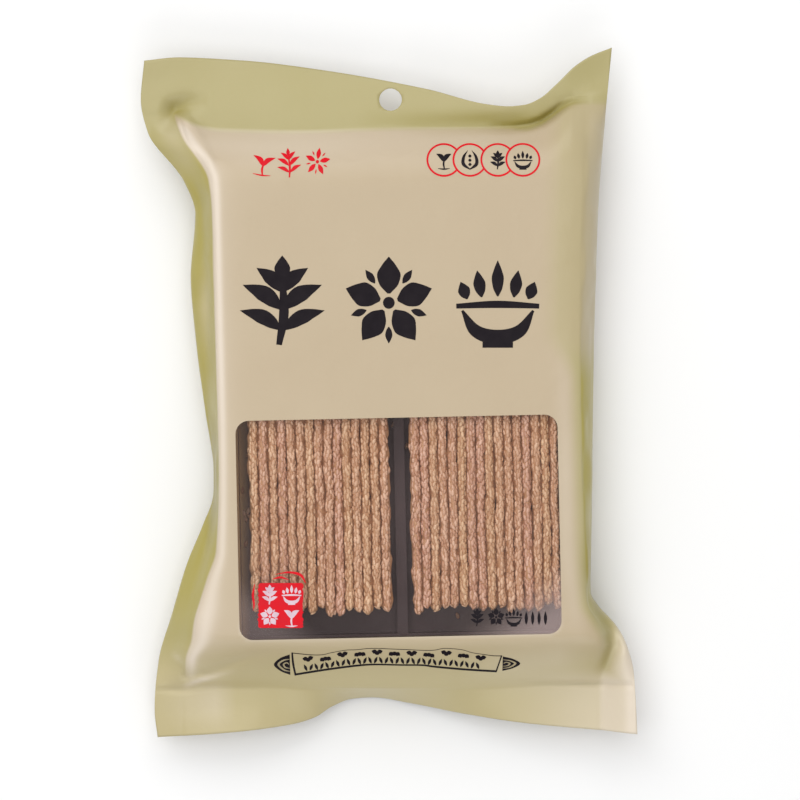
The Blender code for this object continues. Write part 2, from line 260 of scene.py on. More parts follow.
# Creases in the film, each with its half width and its route: x, y and the height that it adds
CREASES = (
    # the valley where the header bends up at the right
    (3.6, ((4.0, 101.2, 0.0), (24.0, 101.6, -0.9), (44.0, 102.0, -1.2), (56.0, 104.4, 0.0))),
    (1.6, ((36.3, 101.0, 0.0), (46.1, 101.0, -1.0), (53.2, 101.3, -2.2), (57.8, 102.7, -3.3),
           (62.3, 105.6, -3.4), (66.2, 108.6, -3.0), (70.0, 110.6, -2.2), (77.0, 111.4, 0.0))),
    # the dent where the header meets the left dart
    (3.8, ((-85.0, 98.0, 0.0), (-83.6, 103.4, -2.2), (-81.2, 107.6, -4.6), (-77.4, 109.6, -2.8),
           (-68.0, 111.6, 0.0))),
    # the dart's two ridges, and the hollow between them
    (1.0, ((-81.0, 107.2, 0.0), (-79.6, 103.0, 1.1), (-76.6, 94.4, 0.9), (-71.4, 86.2, 0.6),
           (-68.0, 80.0, 0.0))),
    (1.6, ((-80.4, 106.6, 0.4), (-77.3, 104.0, 1.2), (-73.6, 100.4, 0.9), (-69.3, 92.8, 0.8),
           (-66.9, 86.9, 0.6), (-65.4, 78.0, 0.0))),
    # the side just outside the left shoulder
    (2.2, ((-76.6, 84.0, 0.0), (-71.6, 75.0, -1.6), (-69.8, 66.0, -2.0), (-69.2, 40.0, -0.8),
           (-69.0, 0.0, -1.4), (-67.6, -30.0, -2.0), (-68.4, -56.0, -1.8), (-73.4, -74.0, -0.9),
           (-77.4, -90.0, 0.0))),
    # the valley between the body and the right ear
    (3.0, ((75.2, -52.0, 0.0), (75.6, -64.0, -1.2), (76.8, -74.0, -2.6), (80.4, -84.0, -4.6),
           (83.8, -89.8, -6.0), (85.0, -95.3, -5.4), (83.4, -101.0, -3.6), (81.2, -106.7, -1.6),
           (80.0, -110.0, 0.0))),
    # the bottom fold, deep at both ends
    (0.9, ((-89.0, -112.6, -0.5), (-77.6, -112.9, -1.0), (-69.7, -111.8, -0.6), (-58.5, -112.4, -0.3),
           (-40.0, -112.0, 0.0))),
    (0.8, ((44.0, -110.6, 0.0), (66.0, -110.8, -0.8), (78.0, -110.8, -1.4), (92.0, -110.8, -0.8))),
    # the small dart at the bottom left, with a valley above it and a soft fold below
    (0.8, ((-79.4, -101.0, 0.0), (-78.0, -104.6, -0.9), (-77.2, -107.4, -1.4), (-75.4, -109.6, 0.0))),
    (1.5, ((-77.4, -107.0, -0.6), (-68.9, -106.4, -1.4), (-60.7, -102.9, -1.0), (-52.7, -99.8, -0.5),
           (-43.0, -98.0, 0.0))),
    (1.0, ((-77.0, -110.8, 0.2), (-72.0, -108.3, 1.3), (-67.6, -108.4, 1.0), (-58.0, -108.6, 0.0))),
    # where the sides are sealed double, at both ends of the bottom flap
    (0.7, ((-78.4, -113.5, 0.0), (-78.6, -120.0, -0.35), (-78.8, -131.0, -0.35))),
    (0.8, ((80.4, -112.0, 0.0), (81.0, -121.0, -0.4), (80.6, -130.0, -0.4))),
)

# Lines of painted light, along which the film is paler, each with its half width and its route: x, y and
# strength
PAINTED_LIGHT_LINES = (
    # beside the window
    (3.6, ((66.0, 24.0, 0.0), (66.4, 4.0, 0.16), (66.8, -30.0, 0.26), (67.4, -62.0, 0.22),
           (70.0, -80.0, 0.16), (72.0, -96.0, 0.0))),
    # along the dart at the bottom left
    (1.2, ((-83.0, -98.0, 0.0), (-80.0, -100.2, 0.22), (-77.8, -102.6, 0.0))),
    (1.1, ((-76.8, -111.2, 0.3), (-72.4, -109.4, 0.6), (-66.6, -107.4, 0.34), (-57.0, -104.6, 0.0))),
    # the body above the bottom flap, at the right
    (7.0, ((26.0, -106.0, 0.0), (46.0, -103.0, 0.2), (64.0, -101.0, 0.24), (76.0, -104.0, 0.0))),
    # the left part of the bottom flap
    (9.0, ((-74.0, -118.0, 0.2), (-66.0, -117.4, 0.34), (-58.0, -117.0, 0.0))),
    # the left side below the header, and halfway down
    (5.0, ((-84.0, 106.0, 0.0), (-82.0, 97.0, 0.22), (-77.0, 88.0, 0.16), (-73.0, 78.0, 0.0))),
    (2.6, ((-69.4, 52.0, 0.0), (-69.6, 32.0, 0.28), (-69.0, 10.0, 0.0))),
)

# Lines of painted shade in the creases and folds, a deeper olive, given in the same way
CREASE_SHADE_LINES = (
    # the header's fold and the valley at its right end
    (3.4, ((-14.0, 103.6, 0.0), (10.0, 103.6, 0.5), (36.0, 103.8, 0.8), (50.0, 104.0, 0.8),
           (58.0, 105.6, 0.4), (63.0, 108.0, 0.0))),
    (1.4, ((40.0, 101.9, 0.2), (50.0, 102.0, 0.9), (57.3, 103.6, 1.0), (63.3, 107.2, 1.0),
           (68.0, 110.2, 0.9), (72.0, 111.2, 0.6), (77.0, 111.6, 0.0))),
    # the dent at the left dart
    (2.8, ((-84.0, 103.0, 0.0), (-81.4, 107.4, 0.9), (-78.0, 109.0, 0.5), (-72.0, 110.0, 0.0))),
    # the left side where the bag is narrowest
    (1.9, ((-68.4, -2.0, 0.0), (-66.2, -18.0, 1.0), (-66.2, -44.0, 1.0), (-69.0, -60.0, 0.0))),
    # the right end of the bottom fold
    (0.8, ((50.0, -110.4, 0.0), (66.0, -110.6, 0.6), (76.0, -110.6, 0.8), (91.0, -110.6, 0.3))),
    # the valley between the body and the right ear
    (2.2, ((75.4, -46.0, 0.0), (75.8, -66.0, 0.9), (79.0, -82.6, 1.0), (83.0, -89.0, 1.0),
           (84.4, -95.2, 0.9), (82.4, -101.0, 0.6), (80.4, -108.0, 0.0))),
)

# The bottom right corner curls up: where it starts, how far it takes, and how high it gets
EAR_START = (80.0, -76.0)
EAR_REACH = (12.0, 16.0)
EAR_LIFT = 5.5

# Fine unevenness of the film: how far apart its swells are across and along, and how high. The
# sides' swells move the film outwards and up by these shares of their height
SWELLS = ((26.0, 34.0, 0.22), (9.0, 17.0, 0.10), (4.0, 5.5, 0.045))
SIDE_SWELLS = ((9.0, 16.0, 0.8), (5.0, 7.0, 0.35))
SIDE_SWELL_OUTWARDS = 0.8
SIDE_SWELL_UPWARDS = 0.5
FLAP_SWELLS = ((30.0, 12.0, 0.35), (22.0, 4.5, 0.12))
NOISE_SIZE = 128
NOISE_SEED = 11

# The beige panel: the y from which the part above the window begins and how long that takes, how wide
# its fade at the right is beside the window and above it, its strength at the upper right, and where
# and over what length it begins above the bottom fold
ABOVE_WINDOW = (4.0, 20.0)
PANEL_FADES = (7.0, 18.0)
UPPER_RIGHT_BEIGE = 0.5
PANEL_START = (1.0, 24.0)

# How far from the bottom fold and from the top one the sides' olive, which is also painted shade, takes to
# get strong
OLIVE_REACHES = (40.0, 26.0)

# How far above the bottom fold the flap's paler olive goes; on the body's bottom slope it also stands as
# painted light
FLAP_REACH = 20.0

# The painted highlight along the left facet's crest, in its own widths: the strength, place and half width of
# its broad line, and the strength and reach of the fainter glow
PAINTED_CREST_LINE = (0.75, 1.6, 1.3)
PAINTED_CREST_GLOW = (0.6, 3.5)

# Painted highlight on the raised corner, paleness of the window's rim, and painted light on the upper right
# side
CORNER_PAINTED_HIGHLIGHT = 0.85
RIM_PALENESS = 0.3
SIDE_PAINTED_LIGHT = 0.12

# The bottom seal gets paler towards the right as a painted sheen, and paler where it is double: how much,
# from which x, and over what length; and how far above the fold that goes
SEAL_PALENESS = ((0.4, 36.0, 44.0), (0.3, 79.4, 2.4))
SEAL_REACH = 8.0


def across(column):
    """(share across the front panel from -1 to 1, share of the way out on the side from 0 to 1)."""
    over = (np.abs(column) - PANEL_SHARE) / (1 - PANEL_SHARE)
    return np.clip(column / PANEL_SHARE, -1.0, 1.0), np.maximum(0.0, over)


def side_angle(side):
    """How far the side film has turned, from where it leaves the panel to the seam."""
    return mix(SIDE_ANGLE, math.pi / 2, side)


def side_reach(side):
    """How far the side film has got outwards, from 0 at the panel to 1 at the seam."""
    start = math.sin(SIDE_ANGLE)
    return (np.sin(side_angle(side)) - start) / (1 - start)


def film_plan(column, row):
    """(x, y) of the film, and how far y is from the bottom fold and from the top one.

    The column runs from -1 at the left edge to 1 at the right one. Rows -1 to 0 are the bottom
    flap, 0 to 1 the body and 1 to 2 the header.
    """
    panel, side = across(column)
    fold_x = mix(*FOLD_ENDS, (panel + 1) / 2)
    low_fold, high_fold = BOTTOM_FOLD_LINE(fold_x), TOP_FOLD_LINE(fold_x)
    flap = np.maximum(np.maximum(-row, row - 1), 0.0)
    share = (column + 1) / 2
    y = mix(BOTTOM_FOLD, TOP_FOLD, row)
    y = y + (high_fold - TOP_FOLD) * soft_step((row - 1 + FOLD_REACH) / FOLD_REACH)
    y = y + (low_fold - BOTTOM_FOLD) * soft_step((FOLD_REACH - row) / FOLD_REACH)
    y = np.where(row < 0, mix(low_fold, BOTTOM_EDGE(mix(*BOTTOM_CORNERS, share)), flap), y)
    y = np.where(row > 1, mix(high_fold, TOP_EDGE(mix(*TOP_CORNERS, share)), flap), y)

    x = mix(LEFT_SHOULDER(y), RIGHT_SHOULDER(y), (panel + 1) / 2)
    edge = np.where(column < 0, LEFT_EDGE(y), RIGHT_EDGE(y))
    x = np.where(side > 0, mix(x, edge, side_reach(side)), x)
    flat_x = mix(LEFT_EDGE(y), RIGHT_EDGE(y), share)
    return mix(x, flat_x, flap), y, y - low_fold, high_fold - y


def seam_height(x, row):
    """Height of the middle between the front and back films where they meet."""
    body = mix(BODY_SEAM_HEIGHT, TOP_FOLD_HEIGHT(x), soft_step((row - 1 + FOLD_REACH) / FOLD_REACH))
    low = mix(BODY_SEAM_HEIGHT, BOTTOM_EDGE_HEIGHT(x), np.maximum(-row, 0.0))
    high = mix(TOP_FOLD_HEIGHT(x), TOP_EDGE_HEIGHT(x), np.maximum(row - 1, 0.0))
    return np.where(row < 0, low, np.where(row > 1, high, body))


def swell(x, y, layers, seed):
    """Smooth random height: layers of noise, each with its spacing across and along and its height."""
    table = np.random.default_rng(seed).uniform(-1, 1, (NOISE_SIZE, NOISE_SIZE))

    def corner(row, column):
        return table[row % NOISE_SIZE, column % NOISE_SIZE]

    height = np.zeros(np.shape(x))
    for i, (step_x, step_y, amount) in enumerate(layers):
        u, v = x / step_x + 17.3 * i + 40, y / step_y + 9.7 * i + 40
        column, row = np.floor(u).astype(int), np.floor(v).astype(int)
        a, b = soft_step(u - column), soft_step(v - row)
        low = mix(corner(row, column), corner(row, column + 1), a)
        high = mix(corner(row + 1, column), corner(row + 1, column + 1), a)
        height += amount * mix(low, high, b)
    return height


def crease(x, y, width, route):
    """The height that one crease adds, fullest along its route."""
    nearest = np.full(np.shape(x), 1e9)
    height = np.zeros(np.shape(x))
    for (ax, ay, a_height), (bx, by, b_height) in zip(route, route[1:]):
        t = ((x - ax) * (bx - ax) + (y - ay) * (by - ay)) / ((bx - ax) ** 2 + (by - ay) ** 2)
        t = np.clip(t, 0.0, 1.0)
        distance = np.hypot(x - mix(ax, bx, t), y - mix(ay, by, t))
        height = np.where(distance < nearest, mix(a_height, b_height, t), height)
        nearest = np.minimum(nearest, distance)
    return height * np.exp(-((nearest / width) ** 2))


def smoothed(height, share, passes):
    """The height grid with this share of each point evened out with its neighbours."""
    for _ in range(passes):
        wide = np.pad(height, 1, mode="edge")
        mean = (wide[:-2, 1:-1] + wide[2:, 1:-1] + wide[1:-1, :-2] + wide[1:-1, 2:]) / 4
        height = mix(height, mean, 0.5 * share)
    return height


def window_distance(x, y):
    """Distance to the window's outline, negative inside it."""
    c, s = math.cos(CONTENTS_TURN), math.sin(CONTENTS_TURN)
    u = np.abs(c * x + s * y - WINDOW_AT[0]) - (WINDOW_WIDTH / 2 - WINDOW_CORNER)
    v = np.abs(c * y - s * x - WINDOW_AT[1]) - (WINDOW_LENGTH / 2 - WINDOW_CORNER)
    outside = np.hypot(np.maximum(u, 0.0), np.maximum(v, 0.0))
    return outside + np.minimum(np.maximum(u, v), 0.0) - WINDOW_CORNER


def hole_distance(x, y):
    """Distance to the hang hole's edge, negative inside it."""
    return np.hypot(x - HOLE_AT[0], y - HOLE_AT[1]) - HOLE_RADIUS


def snap_to(outline, x, y):
    """Moves the nearer end of each grid line that crosses the outline onto it.

    Returns x, y and the side that each point is on: -1 inside, 0 on the outline, 1 outside.
    """
    distance = outline(x, y)
    on = np.zeros(distance.shape, bool)
    for a, b in ((np.s_[:-1, :], np.s_[1:, :]), (np.s_[:, :-1], np.s_[:, 1:])):
        crossing = distance[a] * distance[b] < 0
        first = np.abs(distance[a]) <= np.abs(distance[b])
        on[a] |= crossing & first
        on[b] |= crossing & ~first
    step = 0.001
    slope_x = (outline(x + step, y) - outline(x - step, y)) / (2 * step)
    slope_y = (outline(x, y + step) - outline(x, y - step)) / (2 * step)
    x = np.where(on, x - distance * slope_x, x)
    y = np.where(on, y - distance * slope_y, y)
    return x, y, np.where(on, 0, np.sign(distance))


def grid_faces(side):
    """(faces inside the outline, faces outside it) of a grid whose points have these sides."""
    rows, columns = side.shape
    index = np.arange(rows * columns).reshape(rows, columns)
    inside, outside = [], []
    for r in range(rows - 1):
        for c in range(columns - 1):
            corners = ((r, c), (r, c + 1), (r + 1, c + 1), (r + 1, c))
            sides = [side[k] for k in corners]
            ring = [int(index[k]) for k in corners]
            if min(sides) >= 0 and max(sides) > 0:
                outside.append(ring)
            elif max(sides) <= 0:
                inside.append(ring)
            else:
                odd = 1 if sides[0] == 0 else 0
                for k in (odd, odd + 2):
                    corner = [ring[k - 1], ring[k], ring[(k + 1) % 4]]
                    (inside if sides[k] < 0 else outside).append(corner)
    return inside, outside


def layers(x, y, over, under):
    """The points of two layers of film over one grid, first the upper one's and then the lower one's."""
    return np.concatenate([np.stack((x, y, z), -1).reshape(-1, 3) for z in (over, under)])


def lower_layer(faces, count):
    """The same faces on the lower layer, looking down. Its points come this many after the upper one's."""
    return [[i + count for i in reversed(face)] for face in faces]


def edge_walls(shape):
    """Faces that close two layers of film all round a grid of this shape."""
    count = shape[0] * shape[1]
    index = np.arange(count).reshape(shape)
    rim = np.concatenate((index[0, :], index[1:, -1], index[-1, -2::-1], index[-2:0:-1, 0]))
    return [[int(b), int(a), int(a) + count, int(b) + count] for a, b in zip(rim, np.roll(rim, -1))]


def new_object(name, data):
    """A new object in the scene."""
    made = bpy.data.objects.new(name, data)
    bpy.context.scene.collection.objects.link(made)
    return made


def mesh_piece(name, points, faces):
    """A new smooth object from points in millimetres, and the indices of the points that its faces use."""
    used = sorted({i for face in faces for i in face})
    new_index = {old: new for new, old in enumerate(used)}
    mesh = bpy.data.meshes.new(name)
    verts = [tuple(float(k) * MM for k in points[i]) for i in used]
    mesh.from_pydata(verts, [], [[new_index[i] for i in face] for face in faces])
    mesh.validate()
    mesh.shade_smooth()
    return new_object(name, mesh), used


def store(piece, name, values):
    """Keeps one number for each point of the piece."""
    attribute = piece.data.attributes.new(name, "FLOAT", "POINT")
    attribute.data.foreach_set("value", np.asarray(values, np.float32))


def film_surface(column, row):
    """The film over a grid of columns and rows: x, y, front z, back z, and masks of its regions."""
    x, y, from_low, from_high = film_plan(column, row)
    panel, side = across(column)
    on_body = (row >= 0) & (row <= 1)

    # how full the bag is: least at the folds, less at the shoulders than in the middle, none at the seams
    middle = ramp(from_low, BOTTOM_SLOPE, BOTTOM_ROUNDNESS) * ramp(from_high, TOP_SLOPE)
    middle = np.where(on_body, middle, 0.0)
    shoulder = np.where(on_body, ramp(from_low, SHOULDER_SLOPE) * ramp(from_high, SHOULDER_SLOPE), 0.0)
    shoulder = shoulder * (1 - SHOULDER_DROP / FACE_HEIGHT)
    fill = mix(middle, np.minimum(middle, shoulder), np.abs(panel) ** PANEL_SQUARENESS)
    back_fill = np.minimum(1.0, fill * BACK_FLATNESS)
    fullness = np.where(side > 0, np.cos(side_angle(side)) / math.cos(SIDE_ANGLE), 1.0)
    hollow = np.where(side > 0, (1 - np.clip(side_reach(side), 0, 1)) ** HOLLOW_STEEPNESS, 1.0)
    front_fullness = np.where(column < 0, mix(fullness, hollow, HOLLOW_SHARE), fullness)
    fill, back_fill = fill * front_fullness, back_fill * fullness

    corner = soft_step((x - EAR_START[0]) / EAR_REACH[0]) * soft_step((EAR_START[1] - y) / EAR_REACH[1])
    seam = seam_height(x, row) + EAR_LIFT * corner
    front = mix(seam + FILM_THICKNESS / 2, FACE_HEIGHT, fill)
    back = mix(seam - FILM_THICKNESS / 2, BACK_HEIGHT, back_fill)

    # the front panel's two long edges, and the loose film at both ends of the header's fold
    into_left = np.clip(1 - (x - LEFT_SHOULDER(y)) / LEFT_BEVEL(y), 0, 1)
    into_right = np.clip(1 - (RIGHT_SHOULDER(y) - x) / RIGHT_ROLL, 0, 1)
    front = front - (LEFT_BEVEL_DROP(y) * into_left**1.6 + RIGHT_ROLL_DROP * into_right**2) * fill
    loose = passing(row, *LOOSE_START) * passing(row, *LOOSE_END) * passing(np.abs(column), *LOOSE_COLUMN)
    front = smoothed(smoothed(front, 1.0, 2), loose, LOOSE_SMOOTHING)

    # creases and swells, which the back shares where the bag is thin, and the sides' own swells
    relief = sum(crease(x, y, *one) for one in CREASES)
    wall = soft_step(side / 0.12) * on_body
    relief += swell(x, y, SWELLS, NOISE_SEED) * np.where(on_body, 1 - wall, 0.3)
    relief += swell(x, y, FLAP_SWELLS, NOISE_SEED + 1) * soft_step(np.maximum(-row, row - 1) / 0.1)
    bulge = swell(front + 3 * side, y, SIDE_SWELLS, NOISE_SEED + 2) * wall * passing(side, 1, -0.35)
    front = np.clip(front + relief, LOWEST_FRONT, FACE_LIMIT)
    thin = soft_step(1 - fill / 0.35)
    back = np.maximum(np.minimum(back + relief * thin, front - LEAST_GAP), LOWEST_BACK)
    x = np.clip(x + bulge * np.sign(column) * SIDE_SWELL_OUTWARDS, BAG_LOW.x, BAG_HIGH.x)
    front = front + bulge * SIDE_SWELL_UPWARDS
    return x, y, front, back, film_masks(x, y, column, row, from_low, from_high, corner)


def film_masks(x, y, column, row, from_low, from_high, corner):
    """Masks of the film's regions and of its painted light and shade, 0 to 1, at places with these distances
    from the folds.
    """
    _, side = across(column)
    on_body = (row >= 0) & (row <= 1)
    on_panel = side <= 0
    above_window = passing(y, *ABOVE_WINDOW)
    upper_right = above_window * (column > 0)

    # the beige panel fades out at its right edge and near both folds, at the right of the top one sooner
    fade = soft_step((RIGHT_SHOULDER(y) - x + 1) / mix(*PANEL_FADES, above_window)) * on_panel
    panel = np.maximum(fade, UPPER_RIGHT_BEIGE * upper_right) * on_body * passing(from_low, *PANEL_START)
    panel = panel * soft_step((from_high - 2.2 * passing(x, 44, 9)) / 1.2 + 0.3)

    # the sides are a stronger olive that is also painted shade; the bottom flap a paler olive, which on the
    # body's bottom slope also stands as painted light; and the creases and folds get painted shade
    olive_and_shade = soft_step(side / 0.05) * on_body * (1 - corner) * (1 - upper_right)
    olive_and_shade = olive_and_shade * soft_step(from_high / OLIVE_REACHES[1]) * soft_step(from_low / OLIVE_REACHES[0])
    flap = soft_step(1.1 - from_low / FLAP_REACH)
    crease_shade = np.clip(sum(crease(x, y, *one) for one in CREASE_SHADE_LINES), 0, 1)

    # the painted highlight along the crest of the left facet, a broad line with a fainter glow from the edge
    # inwards
    in_from_edge = np.maximum(x - LEFT_SHOULDER(y), 0) / PAINTED_CREST_WIDTH(y)
    strength, place, half_width = PAINTED_CREST_LINE
    crest = strength * np.exp(-(((in_from_edge - place) / half_width) ** 2))
    crest = crest + PAINTED_CREST_GLOW[0] * np.exp(-in_from_edge / PAINTED_CREST_GLOW[1])
    crest = crest * PAINTED_CREST_HIGHLIGHT(y) * on_panel * on_body * soft_step(from_high / 5) * soft_step(from_low / 3)

    # painted light: the highlight on the raised corner, the sheen towards the seal's right end (paler also
    # where it is double), light on the slope below the header and on the upper right side, and the crest's
    # highlight
    seal = sum(amount * passing(x, start, length) for amount, start, length in SEAL_PALENESS)
    seal = seal * soft_step(1 - from_low / SEAL_REACH)
    slope_light = TOP_SLOPE_PAINTED_LIGHT(x) * soft_step(1.5 - from_high / 12) * on_body * on_panel
    side_light = SIDE_PAINTED_LIGHT * soft_step(side / 0.2) * upper_right * on_body * soft_step(from_high / 12)
    pale = np.maximum.reduce((CORNER_PAINTED_HIGHLIGHT * corner, seal, slope_light, crest, side_light))
    # and the lines of painted light
    pale = np.clip(pale + sum(crease(x, y, *one) for one in PAINTED_LIGHT_LINES), 0, 1)
    return {"panel": panel, "olive_and_shade": olive_and_shade, "crease_shade": crease_shade, "flap": flap, "pale": pale}


def film_grid():
    """The film as a grid, with its sides of the window's outline and of the hang hole."""
    panel = np.linspace(-1, 1, PANEL_COLUMNS)
    panel = PANEL_SHARE * mix(panel, np.sin(panel * math.pi / 2), EDGE_FINENESS)
    side = mix(PANEL_SHARE, 1.0, np.arange(1, SIDE_COLUMNS + 1) / SIDE_COLUMNS)
    columns = np.concatenate((-side[::-1], panel, side))
    flap = np.linspace(0, 1, FLAP_ROWS, endpoint=False)
    body = np.linspace(0, 1, BODY_ROWS)
    rows = np.concatenate((flap - 1, body, 1 + flap[1:], [2.0]))
    x, y, front, back, masks = film_surface(*np.meshgrid(columns, rows))
    x, y, window_side = snap_to(window_distance, x, y)
    x, y, hole_side = snap_to(hole_distance, x, y)
    rim = np.exp(-((window_distance(x, y) / WINDOW_RIM) ** 2)) * passing(y, WINDOW_RIM_TOP, -8)
    masks["pale"] = np.maximum(masks["pale"], RIM_PALENESS * rim)
    return x, y, front, back, window_side, hole_side, masks


def make_film(grid):
    """The printed film, open at the window and pierced by the hang hole, and the clear window."""
    x, y, front, back, window_side, hole_side, masks = grid
    count = x.size
    points = layers(x, y, front, back)
    clear, _ = grid_faces(window_side)
    _, printed = grid_faces(np.where(hole_side <= 0, hole_side, window_side))
    _, whole = grid_faces(hole_side)

    # the walls, also round the hang hole, where an edge has a face on one side only
    walls = edge_walls(x.shape)
    edges = [edge for face in whole for edge in zip(face, face[1:] + face[:1])]
    known, on_hole = set(edges), set(np.flatnonzero(hole_side == 0).tolist())
    for a, b in edges:
        if a in on_hole and b in on_hole and (b, a) not in known:
            walls.append([b, a, a + count, b + count])

    film, used = mesh_piece("printed_film", points, printed + lower_layer(whole, count) + walls)
    for name, values in masks.items():
        store(film, name, np.tile(values.ravel(), 2)[used])
    window, _ = mesh_piece("clear_window", points, clear)
    return film, window


def make_back_seam():
    """The lap seal down the back: a flat, finely crimped strip against the back film."""
    low, high = SEAM_ROWS
    flap, header = np.linspace(low, 0, 40, endpoint=False), np.linspace(1, high, 41)[1:]
    rows = np.concatenate((flap, np.linspace(0, 1, 400), header))
    x, y, _, back, _ = film_surface(*np.meshgrid(np.linspace(*SEAM_COLUMNS, 9), rows))
    crimp = SEAM_CRIMP * np.sin(2 * math.pi * y / SEAM_PITCH)
    points = layers(x, y, back - SEAM_GAP, back - SEAM_GAP - SEAM_THICKNESS + crimp)
    _, top = grid_faces(np.ones(x.shape))
    return mesh_piece("back_seam", points, top + lower_layer(top, x.size) + edge_walls(x.shape))[0]


def turned(u, v):
    """(x, y) of a place that is given across and along the contents."""
    c, s = math.cos(CONTENTS_TURN), math.sin(CONTENTS_TURN)
    return c * u - s * v, s * u + c * v


# Materials

def add(tree, kind, inputs=None, **settings):
    """A new node with its settings. An input given as a socket is linked, and any other is set."""
    node = tree.nodes.new(kind)
    for name, value in settings.items():
        setattr(node, name, value)
    for name, value in (inputs or {}).items():
        if isinstance(value, bpy.types.NodeSocket):
            tree.links.new(value, node.inputs[name])
        else:
            node.inputs[name].default_value = value
    return node


def mixed(tree, share, a, b):
    """The colour that lies this share of the way from colour a to colour b."""
    node = add(tree, "ShaderNodeMix", data_type="RGBA")
    for place, value in ((0, share), (6, a), (7, b)):
        if isinstance(value, bpy.types.NodeSocket):
            tree.links.new(value, node.inputs[place])
        else:
            node.inputs[place].default_value = (*value, 1) if place else value
    return node.outputs[2]


def new_group(name, inputs, outputs):
    """An empty shader node group, with its input and output nodes."""
    group = bpy.data.node_groups.new(name, "ShaderNodeTree")
    for label, value in inputs.items():
        socket = group.interface.new_socket(label, in_out="INPUT", socket_type="NodeSocketFloat")
        socket.default_value = value
    for label in outputs:
        group.interface.new_socket(label, in_out="OUTPUT", socket_type="NodeSocketFloat")
    return group, group.nodes.new("NodeGroupInput"), group.nodes.new("NodeGroupOutput")


def noise(group, size, detail):
    """Noise on the piece's own coordinates, with patches this many metres across."""
    place = add(group, "ShaderNodeTexCoord")
    scale = add(group, "ShaderNodeMath", {0: 1.0, 1: size}, operation="DIVIDE")
    return add(group, "ShaderNodeTexNoise", {
        "Vector": place.outputs["Object"], "Scale": scale.outputs[0], "Detail": detail,
    }).outputs[0]


def make_mottling():
    """Cloudy patches: a mask of 0 to 1 whose patches are Size metres across."""
    group, given, result = new_group("mottling", {"Size": 0.02, "Detail": 2.0, "Contrast": 2.0}, ["Mask"])
    clouds = noise(group, given.outputs["Size"], given.outputs["Detail"])
    centred = add(group, "ShaderNodeMath", {0: clouds, 1: 0.5}, operation="SUBTRACT")
    spread = add(group, "ShaderNodeMath", {
        0: centred.outputs[0], 1: given.outputs["Contrast"], 2: 0.5,
    }, operation="MULTIPLY_ADD", use_clamp=True)
    group.links.new(spread.outputs[0], result.inputs["Mask"])
    return group


def make_crinkle():
    """Fine crinkles of laminated film: a height for a bump, with ridges Size metres apart."""
    group, given, result = new_group("crinkle", {"Size": 0.006, "Sharp": 0.5}, ["Height"])
    soft = noise(group, given.outputs["Size"], 3.0)
    ridged = add(group, "ShaderNodeMath", {0: soft, 1: 0.5}, operation="SUBTRACT")
    ridged = add(group, "ShaderNodeMath", {0: ridged.outputs[0]}, operation="ABSOLUTE")
    total = add(group, "ShaderNodeMath", {
        0: ridged.outputs[0], 1: given.outputs["Sharp"], 2: soft,
    }, operation="MULTIPLY_ADD")
    group.links.new(total.outputs[0], result.inputs["Height"])
    return group


MOTTLING = make_mottling()
CRINKLE = make_crinkle()


def new_material(name, **values):
    """A new material with its Principled shader's inputs set; returns it, its tree and the shader."""
    material = bpy.data.materials.new(name)
    material.use_nodes = True
    tree = material.node_tree
    shader = tree.nodes["Principled BSDF"]
    for label, value in values.items():
        shader.inputs[label.replace("_", " ")].default_value = value
    return material, tree, shader


def mottling(tree, **values):
    """The mask of a mottling group placed in the tree."""
    return add(tree, "ShaderNodeGroup", values, node_tree=MOTTLING).outputs["Mask"]


def crinkled(tree, shader, distance, **values):
    """Bumps the shader's surface with the crinkle group."""
    height = add(tree, "ShaderNodeGroup", values, node_tree=CRINKLE).outputs["Height"]
    bump = add(tree, "ShaderNodeBump", {"Height": height, "Distance": distance, "Strength": 1.0})
    tree.links.new(bump.outputs["Normal"], shader.inputs["Normal"])


def film_crinkled(tree, shader):
    """The film's own crinkles, which the ink on it shares."""
    crinkled(tree, shader, 0.0002, Size=0.009, Sharp=0.8)


def attribute(tree, name):
    """The value that the piece keeps under this name."""
    return add(tree, "ShaderNodeAttribute", attribute_name=name).outputs["Fac"]


def graded(tree, direction, start, end, fullest=1.0, kind="LINEAR"):
    """A value that grows across the piece in this direction, from 0 at start to its fullest at end."""
    place = add(tree, "ShaderNodeTexCoord").outputs["Object"]
    reach = add(tree, "ShaderNodeVectorMath", {0: place, 1: direction}, operation="DOT_PRODUCT")
    return add(tree, "ShaderNodeMapRange", {
        "Value": reach.outputs["Value"], "From Min": start, "From Max": end, "To Max": fullest,
    }, interpolation_type=kind).outputs[0]


# The film's colours. The sides' olive is also painted shade, the crease olive is painted shade, and the pale
# pink is painted light and the window's printed rim
OLIVE = (0.415, 0.362, 0.165)
SIDE_OLIVE_AND_SHADE = (0.385, 0.325, 0.075)
CREASE_SHADE_OLIVE = (0.30, 0.25, 0.05)
FLAP_OLIVE = (0.50, 0.425, 0.225)
PINK_BEIGE = (0.485, 0.385, 0.255)
PALE_PINK = (0.76, 0.665, 0.56)
PATCH_BEIGE = (0.65, 0.56, 0.40)


